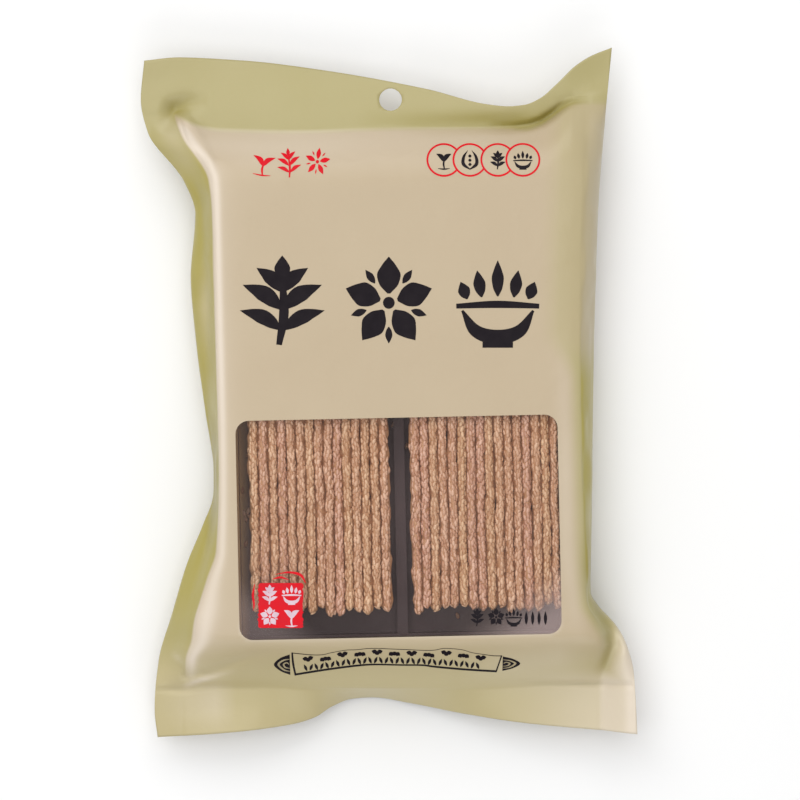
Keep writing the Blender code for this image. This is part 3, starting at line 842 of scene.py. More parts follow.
def printed_film_material():
    """Satin film, olive with a beige panel and faint patches of both tints, with painted shade on its sides
    and creases and painted light on its crest, slopes and raised corner.
    """
    material, tree, shader = new_material("printed_film", Roughness=0.32, Specular_IOR_Level=0.35)
    # olive, darker on the sides where it is also painted shade
    colour = mixed(tree, attribute(tree, "olive_and_shade"), OLIVE, SIDE_OLIVE_AND_SHADE)
    colour = mixed(tree, attribute(tree, "flap"), colour, FLAP_OLIVE)
    colour = mixed(tree, attribute(tree, "panel"), colour, PINK_BEIGE)
    # painted shade along the creases and folds
    colour = mixed(tree, attribute(tree, "crease_shade"), colour, CREASE_SHADE_OLIVE)
    # painted light, and the window's pale rim
    colour = mixed(tree, attribute(tree, "pale"), colour, PALE_PINK)
    patches = mottling(tree, Size=0.03, Detail=1.0, Contrast=1.6)
    paler = mixed(tree, 0.10, colour, PATCH_BEIGE)
    colour = mixed(tree, patches, colour, paler)
    tree.links.new(colour, shader.inputs["Base Color"])
    film_crinkled(tree, shader)
    return material


# Painted light in the window's lower corners, laid on as a pale veil: the direction in which it thickens, in
# units a metre, where it starts and is fullest, and how thick it gets
CORNER_VEIL_LIGHT = (
    ((9.0, -12.0, 0.0), 1.30, 1.62, 0.34),
    ((-10.0, -14.0, 0.0), 1.48, 1.72, 0.12),
)

HAZE_TINT = (0.62, 0.47, 0.45, 1)


def clear_film_material():
    """Clear film with a grey haze and faint smears, and a pale veil of painted light in its lower corners."""
    material, tree, shader = new_material("clear_film", Base_Color=HAZE_TINT, Roughness=0.18)
    smears = mottling(tree, Size=0.04, Detail=2.0, Contrast=1.5)
    haze = add(tree, "ShaderNodeMath", {0: smears, 1: 0.05, 2: 0.02}, operation="MULTIPLY_ADD")
    # painted light: the veil thickens towards the lower corners
    for corner in CORNER_VEIL_LIGHT:
        veil_light = graded(tree, *corner, kind="SMOOTHSTEP")
        haze = add(tree, "ShaderNodeMath", {0: haze.outputs[0], 1: veil_light}, operation="ADD")
    tree.links.new(haze.outputs[0], shader.inputs["Alpha"])
    film_crinkled(tree, shader)
    return material


def ink_material(name, colour, worn):
    """Ink under the film's gloss, a little uneven."""
    material, tree, shader = new_material(name, Roughness=0.3, Specular_IOR_Level=0.08)
    patches = mottling(tree, Size=0.004, Detail=3.0, Contrast=2.0)
    tree.links.new(mixed(tree, patches, colour, worn), shader.inputs["Base Color"])
    film_crinkled(tree, shader)
    return material


TRAY_DARK = (0.040, 0.017, 0.021)
TRAY_BLOOM = (0.068, 0.034, 0.037)

# Dust on the tray, and painted light towards its lower right: the direction in which each thickens, where it
# starts and is fullest, in metres, and its colour
TRAY_DUST_AND_LIGHT = (
    ((-1.0, 0.0, 0.0), 0.053, 0.057, (0.62, 0.37, 0.16)),
    # painted light, paler towards the lower right where light falls on the tray
    ((0.8, -0.6, 0.0), 0.072, 0.104, (0.34, 0.26, 0.22)),
)


def tray_material():
    """Dark moulded plastic with a dusty bloom of sugar and sesame, dust at its left edge, and painted light
    that pales it towards the lower right.
    """
    material, tree, shader = new_material("tray_plastic", Roughness=0.5)
    bloom = mottling(tree, Size=0.012, Detail=4.0, Contrast=1.8)
    colour = mixed(tree, bloom, TRAY_DARK, TRAY_BLOOM)
    for direction, start, end, tint in TRAY_DUST_AND_LIGHT:
        colour = mixed(tree, graded(tree, direction, start, end), colour, tint)
    tree.links.new(colour, shader.inputs["Base Color"])
    crinkled(tree, shader, 0.0002, Size=0.004, Sharp=0.3)
    return material


CARAMEL = (0.41, 0.19, 0.085)
PALE_CARAMEL = (0.52, 0.28, 0.15)


def caramel_material():
    """Boiled sugar between the seeds, in patches of darker and paler caramel."""
    material, tree, shader = new_material("caramel", Roughness=0.35)
    patches = mottling(tree, Size=0.003, Detail=3.0, Contrast=2.5)
    tree.links.new(mixed(tree, patches, CARAMEL, PALE_CARAMEL), shader.inputs["Base Color"])
    crinkled(tree, shader, 0.0004, Size=0.0015, Sharp=0.6)
    return material


# The seeds' darkest and palest shades, each from one batch's tint to the other's
DARK_SEEDS = ((0.45, 0.20, 0.115), (0.46, 0.23, 0.095))
PALE_SEEDS = ((0.72, 0.43, 0.31), (0.74, 0.48, 0.28))
TOASTED = (0.42, 0.19, 0.09)


def seed_material():
    """Hulled sesame seeds under a sugar glaze, each with its own shade from cream to tan."""
    material, tree, shader = new_material(
        "sesame_seeds", Roughness=0.4, Coat_Weight=0.6, Coat_Roughness=0.16
    )
    batch = attribute(tree, "batch")
    dark, pale = mixed(tree, batch, *DARK_SEEDS), mixed(tree, batch, *PALE_SEEDS)
    colour = mixed(tree, attribute(tree, "shade"), dark, pale)
    patches = mottling(tree, Size=0.014, Detail=2.0, Contrast=2.0)
    toasted = mixed(tree, 0.35, colour, TOASTED)
    colour = mixed(tree, patches, colour, toasted)
    tree.links.new(colour, shader.inputs["Base Color"])
    crinkled(tree, shader, 0.0001, Size=0.0008, Sharp=0.4)
    return material


# The brittle

# A slice's sugar core: its crest stays below the node's top for the seeds to lie on it, its ends are
# rounded over a short length and a little lower, and it is made of sections one station apart
SLICE_HALF_WIDTH = 1.3
SLICE_LENGTH = 91.0
SLICE_BASE = 4.6
SEED_ROOM = 0.75
END_ROUNDING = 1.6
END_DROP = 1.1
STATION = 1.0

# How a slice sways from side to side, and its lumps, as layers of noise; how high the lumps stand on
# its crest, and how far apart the slices lie in that noise
SLICE_SWAY = ((50.0, 13.0, 0.22), (50.0, 5.0, 0.10))
SLICE_LUMPS = ((1.7, 2.6, 0.22), (3.0, 5.0, 0.12))
LUMP_HEIGHT = 1.2
SLICES_APART = 37.0

# The seeds, how close they lie, how far down a slice they go and how far past the window's top edge,
# and the numbers that fix their random places on the stacks and on the tray
SEED_LENGTH = 2.9
SEED_WIDTH = 1.7
SEED_HEIGHT = 1.0
SEED_GAP = 1.3
SEED_DEPTH = 2.0
SEEDED_PAST_WINDOW = 3.0
STACK_SEEDING = 5
LOOSE_SEEDING = 9

# The tray's floor, and the strips of it beside and below the stacks where loose seeds lie: how
# thickly, and between which two corners
TRAY_FLOOR = 4.7
CRUMB_STRIPS = (
    (0.8, (-57.0, -90.0), (-53.6, -10.0)),
    (0.15, (-0.6, -90.0), (7.2, -10.0)),
    (0.3, (-53.6, -90.0), (-0.6, -84.5)),
    (0.2, (7.2, -90.0), (61.0, -84.5)),
)

# Half of a slice's cross-section: share of the half width, and depth below the crest
SECTION = (
    (0.0, 0.0), (0.35, 0.06), (0.65, 0.34), (0.84, 0.8), (0.96, 1.25), (1.1, 1.65), (1.34, 2.05),
    (1.5, 2.9), (1.3, 9.0), (1.1, 16.0), (1.1, 26.0),
)


def slice_surface(name, number):
    """Points and faces of one slice's sugar core, and how thickly seeds cover each point."""
    low, high = (np.array(corner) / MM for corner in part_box(name))
    centre, crest = (low + high) / 2, high[2] - SEED_ROOM
    c, s = math.cos(CONTENTS_TURN), math.sin(CONTENTS_TURN)
    middle_u, middle_v = c * centre[0] + s * centre[1], c * centre[1] - s * centre[0]
    ends = np.array([0.0, 0.15, 0.5, 1.0])
    along = np.concatenate((ends, np.arange(2.0, SLICE_LENGTH - 1.5, STATION), SLICE_LENGTH - ends[::-1]))
    from_end = np.minimum(along, SLICE_LENGTH - along)
    narrow = np.sqrt(np.clip(1 - (1 - from_end / END_ROUNDING).clip(0, 1) ** 2, 0.06, 1))[:, None]

    depth = crest - SLICE_BASE
    half = np.array([(share, min(drop, depth)) for share, drop in SECTION])
    loop = np.concatenate((half, (half * (-1, 1))[:0:-1]))
    v = middle_v - SLICE_LENGTH / 2 + along
    v, share = np.meshgrid(v, loop[:, 0], indexing="ij")
    drop = np.broadcast_to(loop[:, 1], v.shape)
    place = np.zeros(v.shape) + number * SLICES_APART
    sway = swell(place, v, SLICE_SWAY, NOISE_SEED + 3)
    lumps = swell(place + share * 2 + drop, v, SLICE_LUMPS, NOISE_SEED + 4)
    size = narrow * (1 + lumps)
    u = middle_u + sway + share * SLICE_HALF_WIDTH * size
    z = crest - drop - END_DROP * (1 - narrow) * (drop < 3)
    z = np.maximum(z + lumps * LUMP_HEIGHT * (drop < 1), SLICE_BASE)
    x, y = turned(u, v)
    points = np.stack((x, y, z), -1)

    stations, around = x.shape
    index = np.arange(x.size).reshape(x.shape)
    faces = []
    for i in range(stations - 1):
        for j in range(around):
            n = (j + 1) % around
            faces.append([int(k) for k in (index[i, j], index[i, n], index[i + 1, n], index[i + 1, j])])
    faces += [[int(k) for k in index[0, ::-1]], [int(k) for k in index[-1, :]]]
    window_end = WINDOW_AT[1] + WINDOW_LENGTH / 2 + SEEDED_PAST_WINDOW
    cover = soft_step((SEED_DEPTH - drop) / 0.9) * (v < window_end)
    return points.reshape(-1, 3), faces, cover.ravel()


def make_stack(name, nodes):
    """One stack's cores in one piece."""
    points, faces, cover, batch = [], [], [], []
    draw = random.Random(name)
    total = 0
    for number, node in enumerate(nodes):
        some, rings, shares = slice_surface(node, number + (50 if "right" in name else 0))
        points.append(some)
        cover.append(shares)
        batch.append(np.full(len(some), draw.random()))
        faces += [[i + total for i in ring] for ring in rings]
        total += len(some)
    stack, _ = mesh_piece(name, np.concatenate(points), faces)
    store(stack, "cover", np.concatenate(cover))
    store(stack, "batch", np.concatenate(batch))
    return stack


def seed_mesh():
    """One sesame seed: a flat drop, pointed at one end, lying along y with its middle at z 0."""
    rings = ((-0.36, 0.75), (-0.02, 1.0), (0.30, 0.62))
    sides = 6
    bm = bmesh.new()
    loops = []
    for along, wide in rings:
        loop = []
        for k in range(sides):
            angle = 2 * math.pi * (k + 0.5) / sides
            x = math.cos(angle) * wide * SEED_WIDTH / 2
            z = math.sin(angle) * wide * SEED_HEIGHT / 2
            loop.append(bm.verts.new((x * MM, along * SEED_LENGTH * MM, z * MM)))
        loops.append(loop)
    blunt = bm.verts.new((0, -0.5 * SEED_LENGTH * MM, 0))
    tip = bm.verts.new((0, 0.5 * SEED_LENGTH * MM, 0))
    for k in range(sides):
        n = (k + 1) % sides
        bm.faces.new((loops[0][k], loops[0][n], blunt))
        bm.faces.new((loops[-1][n], loops[-1][k], tip))
        for a, b in zip(loops, loops[1:]):
            bm.faces.new((a[n], a[k], b[k], b[n]))
    bmesh.ops.recalc_face_normals(bm, faces=bm.faces)
    mesh = bpy.data.meshes.new("seed")
    bm.to_mesh(mesh)
    bm.free()
    mesh.shade_smooth()
    return mesh


def seeding_tree(seed, material):
    """Geometry nodes that strew one seed object over the covered part of a surface.

    The seeds lie flat on the surface, roughly along Direction, and each keeps a random shade.
    """
    tree = bpy.data.node_groups.new("seeding", "GeometryNodeTree")
    face = tree.interface
    face.new_socket("Geometry", in_out="INPUT", socket_type="NodeSocketGeometry")
    for label, value in (("Gap", SEED_GAP * MM), ("Smallest", 0.76), ("Largest", 1.08), ("Swing", 0.5)):
        socket = face.new_socket(label, in_out="INPUT", socket_type="NodeSocketFloat")
        socket.default_value = value
    socket = face.new_socket("Direction", in_out="INPUT", socket_type="NodeSocketVector")
    socket.default_value = (-math.sin(CONTENTS_TURN), math.cos(CONTENTS_TURN), 0)
    socket = face.new_socket("Seed", in_out="INPUT", socket_type="NodeSocketInt")
    socket.default_value = 5
    face.new_socket("Geometry", in_out="OUTPUT", socket_type="NodeSocketGeometry")
    given, result = tree.nodes.new("NodeGroupInput"), tree.nodes.new("NodeGroupOutput")
    given = given.outputs

    cover = add(tree, "GeometryNodeInputNamedAttribute", {"Name": "cover"}, data_type="FLOAT")
    spread = add(tree, "GeometryNodeDistributePointsOnFaces", {
        "Mesh": given["Geometry"], "Distance Min": given["Gap"], "Density Max": 2.5e6,
        "Density Factor": cover.outputs[0], "Seed": given["Seed"],
    }, distribute_method="POISSON")
    upright = add(tree, "FunctionNodeAlignRotationToVector", {"Vector": spread.outputs["Normal"]}, axis="Z")
    along = add(tree, "FunctionNodeAlignRotationToVector", {
        "Rotation": upright.outputs[0], "Vector": given["Direction"],
    }, axis="Y", pivot_axis="Z")
    back = add(tree, "ShaderNodeMath", {0: given["Swing"], 1: -1.0}, operation="MULTIPLY")
    swing = add(tree, "FunctionNodeRandomValue", {2: back.outputs[0], 3: given["Swing"], "Seed": 1})
    yaw = add(tree, "ShaderNodeCombineXYZ", {"Z": swing.outputs[1]})
    lying = add(tree, "FunctionNodeRotateRotation", {
        "Rotation": along.outputs[0], "Rotate By": yaw.outputs[0],
    }, rotation_space="LOCAL")
    size = add(tree, "FunctionNodeRandomValue", {2: given["Smallest"], 3: given["Largest"], "Seed": 2})
    one = add(tree, "GeometryNodeObjectInfo", {"Object": seed})
    seeds = add(tree, "GeometryNodeInstanceOnPoints", {
        "Points": spread.outputs["Points"], "Instance": one.outputs["Geometry"],
        "Rotation": lying.outputs[0], "Scale": size.outputs[1],
    })
    shade = add(tree, "FunctionNodeRandomValue", {2: 0.0, 3: 1.0, "Seed": 3})
    shaded = add(tree, "GeometryNodeStoreNamedAttribute", {
        "Geometry": seeds.outputs[0], "Name": "shade", "Value": shade.outputs[1],
    }, data_type="FLOAT", domain="INSTANCE")
    real = add(tree, "GeometryNodeRealizeInstances", {"Geometry": shaded.outputs[0]})
    finished = add(tree, "GeometryNodeSetMaterial", {"Geometry": real.outputs[0], "Material": material})
    tree.links.new(finished.outputs[0], result.inputs[0])
    return tree


def strew_seeds(name, ground, tree, number):
    """The seeds on a stack or on other ground, as a plain mesh of their own."""
    modifier = ground.modifiers.new("seeding", "NODES")
    modifier.node_group = tree
    for item in tree.interface.items_tree:
        if item.name == "Seed" and item.in_out == "INPUT":
            modifier[item.identifier] = number
    evaluated = ground.evaluated_get(bpy.context.evaluated_depsgraph_get())
    mesh = bpy.data.meshes.new_from_object(evaluated)
    ground.modifiers.remove(modifier)
    mesh.name = name
    mesh.shade_smooth()
    return new_object(name, mesh)


def make_crumb_ground():
    """The strips of tray floor that the window shows, with clumps where loose seeds are to lie."""
    points, faces, cover = [], [], []
    for thickness, low, high in CRUMB_STRIPS:
        u, v = np.meshgrid(np.linspace(low[0], high[0], 12), np.linspace(low[1], high[1], 60))
        x, y = turned(u, v)
        first = len(points)
        points += list(np.stack((x, y, np.full(x.shape, TRAY_FLOOR)), -1).reshape(-1, 3))
        faces += [[k + first for k in face] for face in grid_faces(np.ones(x.shape))[1]]
        clumps = swell(x, y, ((7.0, 9.0, 0.6), (3.0, 4.0, 0.5)), NOISE_SEED + 5)
        cover += list((thickness * np.clip(clumps, 0, 1)).ravel())
    ground, _ = mesh_piece("crumb_ground", points, faces)
    store(ground, "cover", cover)
    store(ground, "batch", np.full(len(cover), 0.5))
    return ground


def make_brittle():
    """Both stacks of slices with their seeds, and loose seeds on the tray."""
    caramel, sesame = caramel_material(), seed_material()
    seed = new_object("seed", seed_mesh())
    tree = seeding_tree(seed, sesame)
    for number, side in enumerate(("left", "right")):
        nodes = sorted(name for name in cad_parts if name.startswith("slice_" + side))
        stack = make_stack("slices_" + side, nodes)
        stack.data.materials.append(caramel)
        seeds = strew_seeds("seeds_" + side, stack, tree, STACK_SEEDING + number)
        for piece in (stack, seeds):
            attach(piece, "root")
        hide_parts(*nodes)
    ground = make_crumb_ground()
    crumbs = strew_seeds("loose_seeds", ground, tree, LOOSE_SEEDING)
    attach(crumbs, "root")
    bpy.data.objects.remove(ground)
    bpy.data.objects.remove(seed)


# The print. A figure is a list of strips, each a pair of edges, in a box that reaches 1 each way

# How far the ink lies above the film, how much higher each next strip of eight lies, so that none
# flicker where they cross, and how wide its mesh's steps are across a strip
INK_LIFT = 0.05
INK_STAGGER = 0.004
INK_STEP = 1.2

# The four rings
RING_PLACES = (20.7, 30.5, 41.0, 50.4)
RING_LINE = 87.7
RING_RADIUS = 6.2
RING_WIDTH = 0.72

# The banner's lower and upper edge
BANNER_BOTTOM = (
    (-35.5, -106.6), (-27.0, -105.1), (-19.3, -103.9), (-11.6, -102.9), (-5.5, -102.5), (4.2, -102.7),
    (12.8, -102.8), (17.2, -103.4), (27.3, -104.4), (34.1, -104.9), (40.6, -105.3),
)
BANNER_TOP = (
    (-36.3, -97.9), (-29.7, -98.6), (-25.1, -98.6), (-21.7, -97.8), (-16.3, -96.8), (-11.7, -96.6),
    (-6.5, -96.1), (5.0, -96.5), (15.9, -96.9), (20.9, -96.1), (27.3, -96.6), (31.3, -97.8),
    (35.7, -98.5), (39.1, -99.0), (42.6, -99.1),
)

# The rows on the banner: how many figures, the first one's x, how far apart, and how far up
TWIN_LEAVES = (11, -30.4, 6.5, 0.72)
SHORT_STROKES = (33, -31.4, 2.03, 0.29)

# The banner's rolled ends: side, reach outwards, half height, and place
ROLLS = ((-1, 6.0, 4.1, -37.3, -102.6), (1, 6.6, 2.9, 42.9, -102.2))


def smooth_path(points, steps):
    """Points on a smooth curve through the given ones."""
    points = np.array(points, float)
    ends = np.concatenate((2 * points[:1] - points[1:2], points, 2 * points[-1:] - points[-2:-1]))
    t = np.arange(steps)[:, None] / steps
    spans = [
        b + 0.5 * t * (c - a + t * (2 * a - 5 * b + 4 * c - d + t * (3 * b - a - 3 * c + d)))
        for a, b, c, d in zip(ends, ends[1:], ends[2:], ends[3:])
    ]
    return np.concatenate(spans + [points[-1:]])


def brush(points, *widths, steps=10):
    """A brush stroke along a curve, its width passing smoothly from each given one to the next."""
    path = smooth_path(points, steps)
    share, at = np.linspace(0, 1, len(path)), np.linspace(0, 1, len(widths))
    if len(widths) < 3:
        width = np.interp(share, at, widths)
    else:
        width = smooth_line(*zip(at, widths))(share)
    heading = np.gradient(path, axis=0)
    heading /= np.hypot(*heading.T)[:, None]
    aside = np.stack((-heading[:, 1], heading[:, 0]), -1) * width[:, None] / 2
    return path + aside, path - aside


def leaf(x, y, length, width, degrees, bend=0.1):
    """A pointed leaf or seed that grows from a place in this direction."""
    c, s = math.cos(math.radians(degrees)), math.sin(math.radians(degrees))
    middle_line = ((0, 0), (0.5, bend), (1, 0))
    path = [(x + length * (c * t - s * b), y + length * (s * t + c * b)) for t, b in middle_line]
    return brush(path, 0.12 * width, 0.8 * width, width, 0.62 * width, 0.0, steps=8)


def dot(x, y, radius):
    """A round dot."""
    angle = np.linspace(0, math.pi, 11)
    out, up = radius * np.cos(angle), radius * np.sin(angle)
    return np.stack((x + out, y + up), -1), np.stack((x + out, y - up), -1)


def arc(x, y, radius, width, start=0.0, end=360.0):
    """A line of even width round a circle, between two directions in degrees."""
    angle = np.radians(np.linspace(start, end, 49))
    outwards = np.stack((np.cos(angle), np.sin(angle)), -1)
    return (x, y) + outwards * (radius + width / 2), (x, y) + outwards * (radius - width / 2)


def both_sides(strips):
    """The strips and their mirror images."""
    return strips + [(left * (-1, 1), right * (-1, 1)) for left, right in strips]


def sprig(weight=1.0):
    """An upright sprig with three pairs of leaves."""
    pairs = ((-0.66, 0.86, 0.30, 30), (-0.2, 0.88, 0.33, 38), (0.2, 0.68, 0.28, 50))
    leaves = [leaf(0.04, y, length, width * weight, degrees) for y, length, width, degrees in pairs]
    stem = brush([(-0.06, -1.0), (0.03, -0.3), (0, 0.5)], 0.1 * weight, 0.17 * weight, 0.08 * weight)
    return both_sides(leaves) + [stem, leaf(0, 0.42, 0.58, 0.28 * weight, 90, 0)]


def blossom(weight=1.0, petals=5):
    """An open flower with a seed between each two petals."""
    figure = [dot(0, 0, 0.13)]
    for k in range(petals):
        angle = 90 + 360 * k / petals
        near, between = math.radians(angle), math.radians(angle + 180 / petals)
        figure.append(leaf(0.2 * math.cos(near), 0.2 * math.sin(near), 0.8, 0.5 * weight, angle, 0))
        x, y = 0.52 * math.cos(between), 0.52 * math.sin(between)
        figure.append(leaf(x, y, 0.36, 0.15 * weight, angle + 180 / petals, 0))
    return figure


def bowl(weight=1.0):
    """A footed bowl with seeds above it."""
    seeds = ((-0.72, 0.06, 0.42, 112), (-0.38, 0.1, 0.62, 100), (0.0, 0.12, 0.82, 90), (0.38, 0.1, 0.62, 80),
             (0.72, 0.06, 0.42, 68))
    figure = [leaf(x, y, length, 0.26 * weight, degrees, 0) for x, y, length, degrees in seeds]
    figure.append(brush([(-0.98, -0.1), (0, -0.06), (0.98, -0.1)], 0.1 * weight, 0.15 * weight, 0.1 * weight))
    figure.append(brush(
        [(-0.84, -0.2), (-0.52, -0.66), (0, -0.8), (0.52, -0.66), (0.84, -0.2)],
        0.05 * weight, 0.26 * weight, 0.3 * weight, 0.26 * weight, 0.05 * weight,
    ))
    return figure + [brush([(-0.36, -0.97), (0.36, -0.97)], 0.13 * weight, 0.13 * weight)]


def sprout(weight=1.0):
    """Two leaves on a short stalk, over the ground."""
    leaves = [leaf(0.02, -0.2, 1.12, 0.42 * weight, 48, 0.16)]
    stalk = brush([(0.05, -0.95), (-0.03, -0.5), (0.0, -0.15)], 0.1 * weight, 0.16 * weight, 0.14 * weight)
    soil = brush([(-0.6, -0.92), (0, -0.98), (0.6, -0.92)], 0.04, 0.14 * weight, 0.04)
    return both_sides(leaves) + [stalk, soil]


def seed_pod(weight=1.0):
    """A seed pod that splits open over a row of seeds."""
    half_line = [(0.0, -1.0), (0.66, -0.45), (0.62, 0.3), (0.2, 1.0)]
    half = brush(half_line, 0.1 * weight, 0.3 * weight, 0.24 * weight, 0.02)
    seeds = [leaf(0, y, 0.36, 0.3 * weight, 90, 0) for y in (-0.66, -0.22, 0.22)]
    return both_sides([half]) + seeds


def set_at(figure, x, y, size, height=None, turn=0.0):
    """A figure at a place in millimetres, reaching this far each way, or this far up and down."""
    c, s = math.cos(math.radians(turn)), math.sin(math.radians(turn))
    scale = np.array((size, height or size))
    matrix = np.array(((c, s), (-s, c)))
    return [tuple((x, y) + (edge * scale) @ matrix for edge in strip) for strip in figure]


def worn_block(low, high, rough, draw):
    """A filled block with worn edges."""
    y = np.linspace(low[1], high[1], 30)
    wear = np.array([[draw.uniform(-rough, rough) for _ in y] for _ in range(2)])
    wear[:, (0, -1)] += ((0.5, 0.5), (-0.5, -0.5))
    return np.stack((low[0] + wear[0], y), -1), np.stack((high[0] + wear[1], y), -1)


def banner_line(points, *widths):
    """A long line of the banner."""
    return brush(points, *widths, steps=7)


def banner_places(count, first, pitch, height):
    """The number, x, y and lean of each of a row of places on the banner, this share of the way up."""
    low, high = smooth_line(*BANNER_BOTTOM), smooth_line(*BANNER_TOP)
    for k in range(count):
        x = first + pitch * k
        lean = math.degrees(math.atan2(float(low(x + 2) - low(x - 2)), 4))
        yield k, x, float(mix(low(x), high(x), height)), lean


def banner_figures():
    """The banner's outline, a row of twin leaves and a row of strokes on it, and its rolled ends."""
    figures = [
        banner_line(BANNER_BOTTOM, 0.85, 0.8, 0.6, 0.8, 0.85),
        banner_line(BANNER_TOP, 0.3, 0.2, 0.22, 0.2, 0.3),
        banner_line([(-36.4, -97.7), (-36.1, -102.2), (-35.3, -107.0)], 0.6, 0.8, 0.7),
        banner_line([(40.5, -105.6), (41.5, -102.2), (42.5, -98.9)], 0.6, 0.5, 0.5),
    ]
    for k, x, y, lean in banner_places(*TWIN_LEAVES):
        twins = both_sides([leaf(0.1, 0, 0.95, 0.9, 25 * (-1) ** k)]) + [dot(0, 0, 0.42)]
        figures += set_at(twins, x, y, 2.2, 1.9, lean)
    for k, x, y, _ in banner_places(*SHORT_STROKES):
        slant = 62 if k % 2 else 118
        stroke = leaf(-0.9 * math.cos(math.radians(slant)), -0.95, 2.1, 0.9, slant, 0)
        figures += set_at([stroke], x, y, 1.2, 1.45)
    for side, tip, height, x, y in ROLLS:
        half_round = brush([(0, 1), (0.62, 0.62), (1, 0.0), (0.6, -0.62), (0, -1)], 0.02, 0.02, 0.02)[0]
        spine = np.stack((np.zeros(len(half_round)), half_round[:, 1]), -1)
        figures += set_at([(half_round * (side, 1), spine)], x, y, tip, height)
    return figures


def black_figures():
    """The bold ornaments, the figures in the rings, the row in the window and the banner."""
    figures = set_at(sprig(1.05), -40.0, 34.8, 20.3, 16.8)
    figures += set_at(blossom(1.05), 0.0, 33.8, 17.0, 17.4)
    figures += set_at(bowl(1.1), 40.9, 34.2, 15.9, 16.6)
    for x, make in zip(RING_PLACES, (sprout, seed_pod, sprig, bowl)):
        figures += set_at(make(1.15), x, RING_LINE, 3.7)
    for x, make in ((33.2, sprig), (40.3, blossom), (46.9, bowl)):
        figures += set_at(make(1.15), x, -84.2, 3.3, 3.4)
    for x in (51.6, 54.0, 56.4, 58.8):
        figures += set_at([leaf(0, -1, 2, 0.9, 90, 0)], x, -84.5, 1.4, 2.6)
    return figures + banner_figures()


def red_figures():
    """The brushed mark, the four rings and the stamp with its brushed strokes."""
    figures = set_at(sprout(0.9), -47.2, 86.2, 5.6, 4.6, -8)
    figures += set_at(sprig(0.85), -37.6, 86.7, 5.8, 5.8, 6)
    figures += set_at(blossom(0.7), -26.9, 87.0, 4.9, 5.6, -8)
    for k, x in enumerate(RING_PLACES):
        hidden = 0.0
        if k + 1 < len(RING_PLACES):
            hidden = math.degrees(math.acos((RING_PLACES[k + 1] - x) / 2 / RING_RADIUS))
        figures.append(arc(x, RING_LINE, RING_RADIUS, RING_WIDTH, hidden, 360 - hidden))
    return figures + [
        worn_block((-49.0, -88.3), (-32.3, -71.4), 0.3, random.Random(3)),
        brush([(-50.4, -71.8), (-51.0, -76.0), (-50.6, -79.4), (-50.9, -81.8)], 0.2, 0.9, 0.7, 0.1),
        brush([(-43.6, -69.9), (-40.6, -69.3), (-37.6, -70.2)], 0.2, 0.8, 0.2),
        brush([(-42.6, -68.2), (-37.6, -67.4), (-33.2, -68.4), (-31.2, -71.4)], 0.1, 0.7, 1.0, 0.3),
    ]


def white_figures():
    """The four small figures of the stamp."""
    figures = []
    for y, makers in ((-75.7, (sprig, bowl)), (-84.0, (blossom, sprout))):
        for x, make in zip((-44.7, -36.5), makers):
            figures += set_at(make(1.15), x, y, 3.75)
    return figures


def scroll_figures():
    """The scrolls on the banner's rolled ends."""
    outer = [(0.02, 0.55), (0.42, 0.42), (0.72, 0.02), (0.4, -0.5), (0.02, -0.66)]
    inner = [(0.02, -0.36), (0.3, -0.26), (0.4, 0.04), (0.2, 0.2), (0.06, 0.02)]
    scroll = [brush(outer, 0.05, 0.13, 0.14, 0.13, 0.05), brush(inner, 0.05, 0.11, 0.11, 0.1, 0.04)]
    figures = []
    for side, tip, height, x, y in ROLLS:
        handed = [(left * (side, 1), right * (side, 1)) for left, right in scroll]
        figures += set_at(handed, x, y, tip, height)
    return figures


def print_ink(name, figures, surface, material, lift):
    """The figures as a thin layer of ink that lies on the film."""
    points, faces = [], []
    for number, (left, right) in enumerate(figures):
        width = np.hypot(*(left - right).T).max()
        lanes = max(1, math.ceil(width / INK_STEP)) + 1
        share = np.linspace(0, 1, lanes)[None, :, None]
        grid = mix(left[:, None, :], right[:, None, :], share)
        first, rows = len(points), len(left)
        raised = lift + INK_STAGGER * (number % 8)
        for x, y in grid.reshape(-1, 2):
            hit = surface.ray_cast(Vector((x, y, 100)), Vector((0, 0, -1)))[0]
            points.append((x, y, hit.z + raised))
        middle = rows // 2
        turn = np.cross(grid[middle, 0] - grid[middle - 1, 0], grid[middle, -1] - grid[middle, 0]) > 0
        for i in range(rows - 1):
            for j in range(lanes - 1):
                k = first + i * lanes + j
                ring = [k, k + lanes, k + lanes + 1, k + 1]
                faces.append(ring if turn else ring[::-1])
    ink, _ = mesh_piece(name, points, faces)
    ink.data.materials.append(material)
    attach(ink, "root")


# Each ink with the figures that it prints, its colour, its colour where it is worn, and its lift
INKS = (
    ("black", black_figures, (0.007, 0.004, 0.007), (0.013, 0.009, 0.012), INK_LIFT),
    ("red", red_figures, (0.72, 0.006, 0.014), (0.60, 0.012, 0.024), INK_LIFT),
    ("white", white_figures, (0.75, 0.60, 0.66), (0.62, 0.42, 0.50), 2 * INK_LIFT),
    ("pale", scroll_figures, (0.44, 0.37, 0.23), (0.30, 0.25, 0.15), 2 * INK_LIFT),
)


def make_print(film, window):
    """All the ink on the film and on its window."""
    points, faces = [], []
    for piece in (film, window):
        first = len(points)
        points += [v.co / MM for v in piece.data.vertices]
        faces += [[i + first for i in face.vertices] for face in piece.data.polygons]
    surface = BVHTree.FromPolygons(points, faces)
    for name, draw_figures, colour, worn, lift in INKS:
        ink = ink_material(name + "_ink", colour, worn)
        print_ink("print_" + name, draw_figures(), surface, ink, lift)


# The film with its window

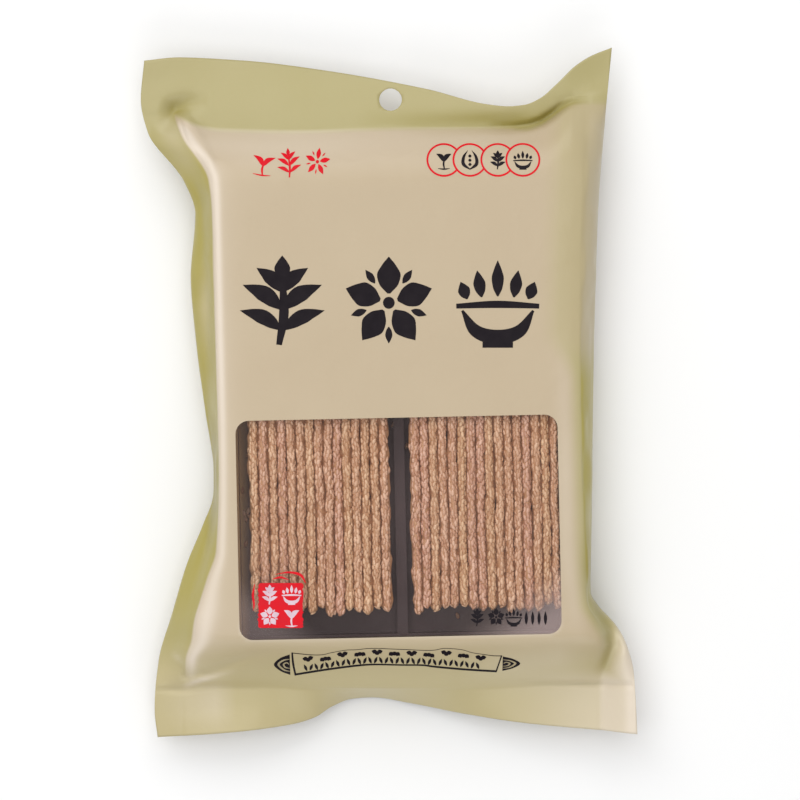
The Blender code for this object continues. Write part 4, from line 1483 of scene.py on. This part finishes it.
film, window = make_film(film_grid())
film.data.materials.append(printed_film_material())
window.data.materials.append(clear_film_material())
for piece in (film, window):
    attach(piece, "root")
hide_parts("bag")
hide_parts("window")

back_seam = make_back_seam()
back_seam.data.materials.append(film.data.materials[0])
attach(back_seam, "root")

make_print(film, window)
make_brittle()
tray = bpy.data.objects["tray"]
tray.data.materials.clear()
tray.data.materials.append(tray_material())

# The camera looks straight down through a long lens, framed as the photo is
PHOTO_PIXELS = 800
PIXEL = 0.38
VIEW_CENTRE = (4.2, -2.7)
CAMERA_HEIGHT = 1500.0
MID_HEIGHT = 17.0
SENSOR = 36.0

camera_data = bpy.data.cameras.new("camera")
camera_data.sensor_width = SENSOR
camera_data.lens = SENSOR * (CAMERA_HEIGHT - MID_HEIGHT) / (PHOTO_PIXELS * PIXEL)
camera = new_object("camera", camera_data)
camera.location = (VIEW_CENTRE[0] * MM, VIEW_CENTRE[1] * MM, CAMERA_HEIGHT * MM)
bpy.context.scene.camera = camera

floor_mesh = bpy.data.meshes.new("floor")
floor_mesh.from_pydata([(-4, -4, 0), (4, -4, 0), (4, 4, 0), (-4, 4, 0)], [], [(0, 1, 2, 3)])
floor = new_object("floor", floor_mesh)
floor_material, _, _ = new_material("floor", Base_Color=(0.9, 0.9, 0.9, 1), Roughness=0.8)
floor.data.materials.append(floor_material)


# Soft boxes that face the bag, each with its place and size in metres and its power in watts
for name, place, size, power in (
    ("overhead", (-0.3, 0.1, 1.9), (1.8, 1.8), 17),
    ("head_end", (-0.4, 1.5, 1.35), (2.2, 1.3), 20),
    ("foot_end", (0.2, -1.5, 1.3), (1.6, 1.0), 8),
):
    data = bpy.data.lights.new(name, "AREA")
    data.shape = "RECTANGLE"
    data.size, data.size_y = size
    data.energy = power
    light = new_object(name, data)
    light.location = place
    light.rotation_euler = (-Vector(place)).to_track_quat("-Z", "Y").to_euler()

world = bpy.data.worlds.new("studio")
world.use_nodes = True
world.node_tree.nodes["Background"].inputs["Color"].default_value = (1, 1, 1, 1)
world.node_tree.nodes["Background"].inputs["Strength"].default_value = 0.42
bpy.context.scene.world = world
bpy.context.scene.view_settings.view_transform = "Standard"
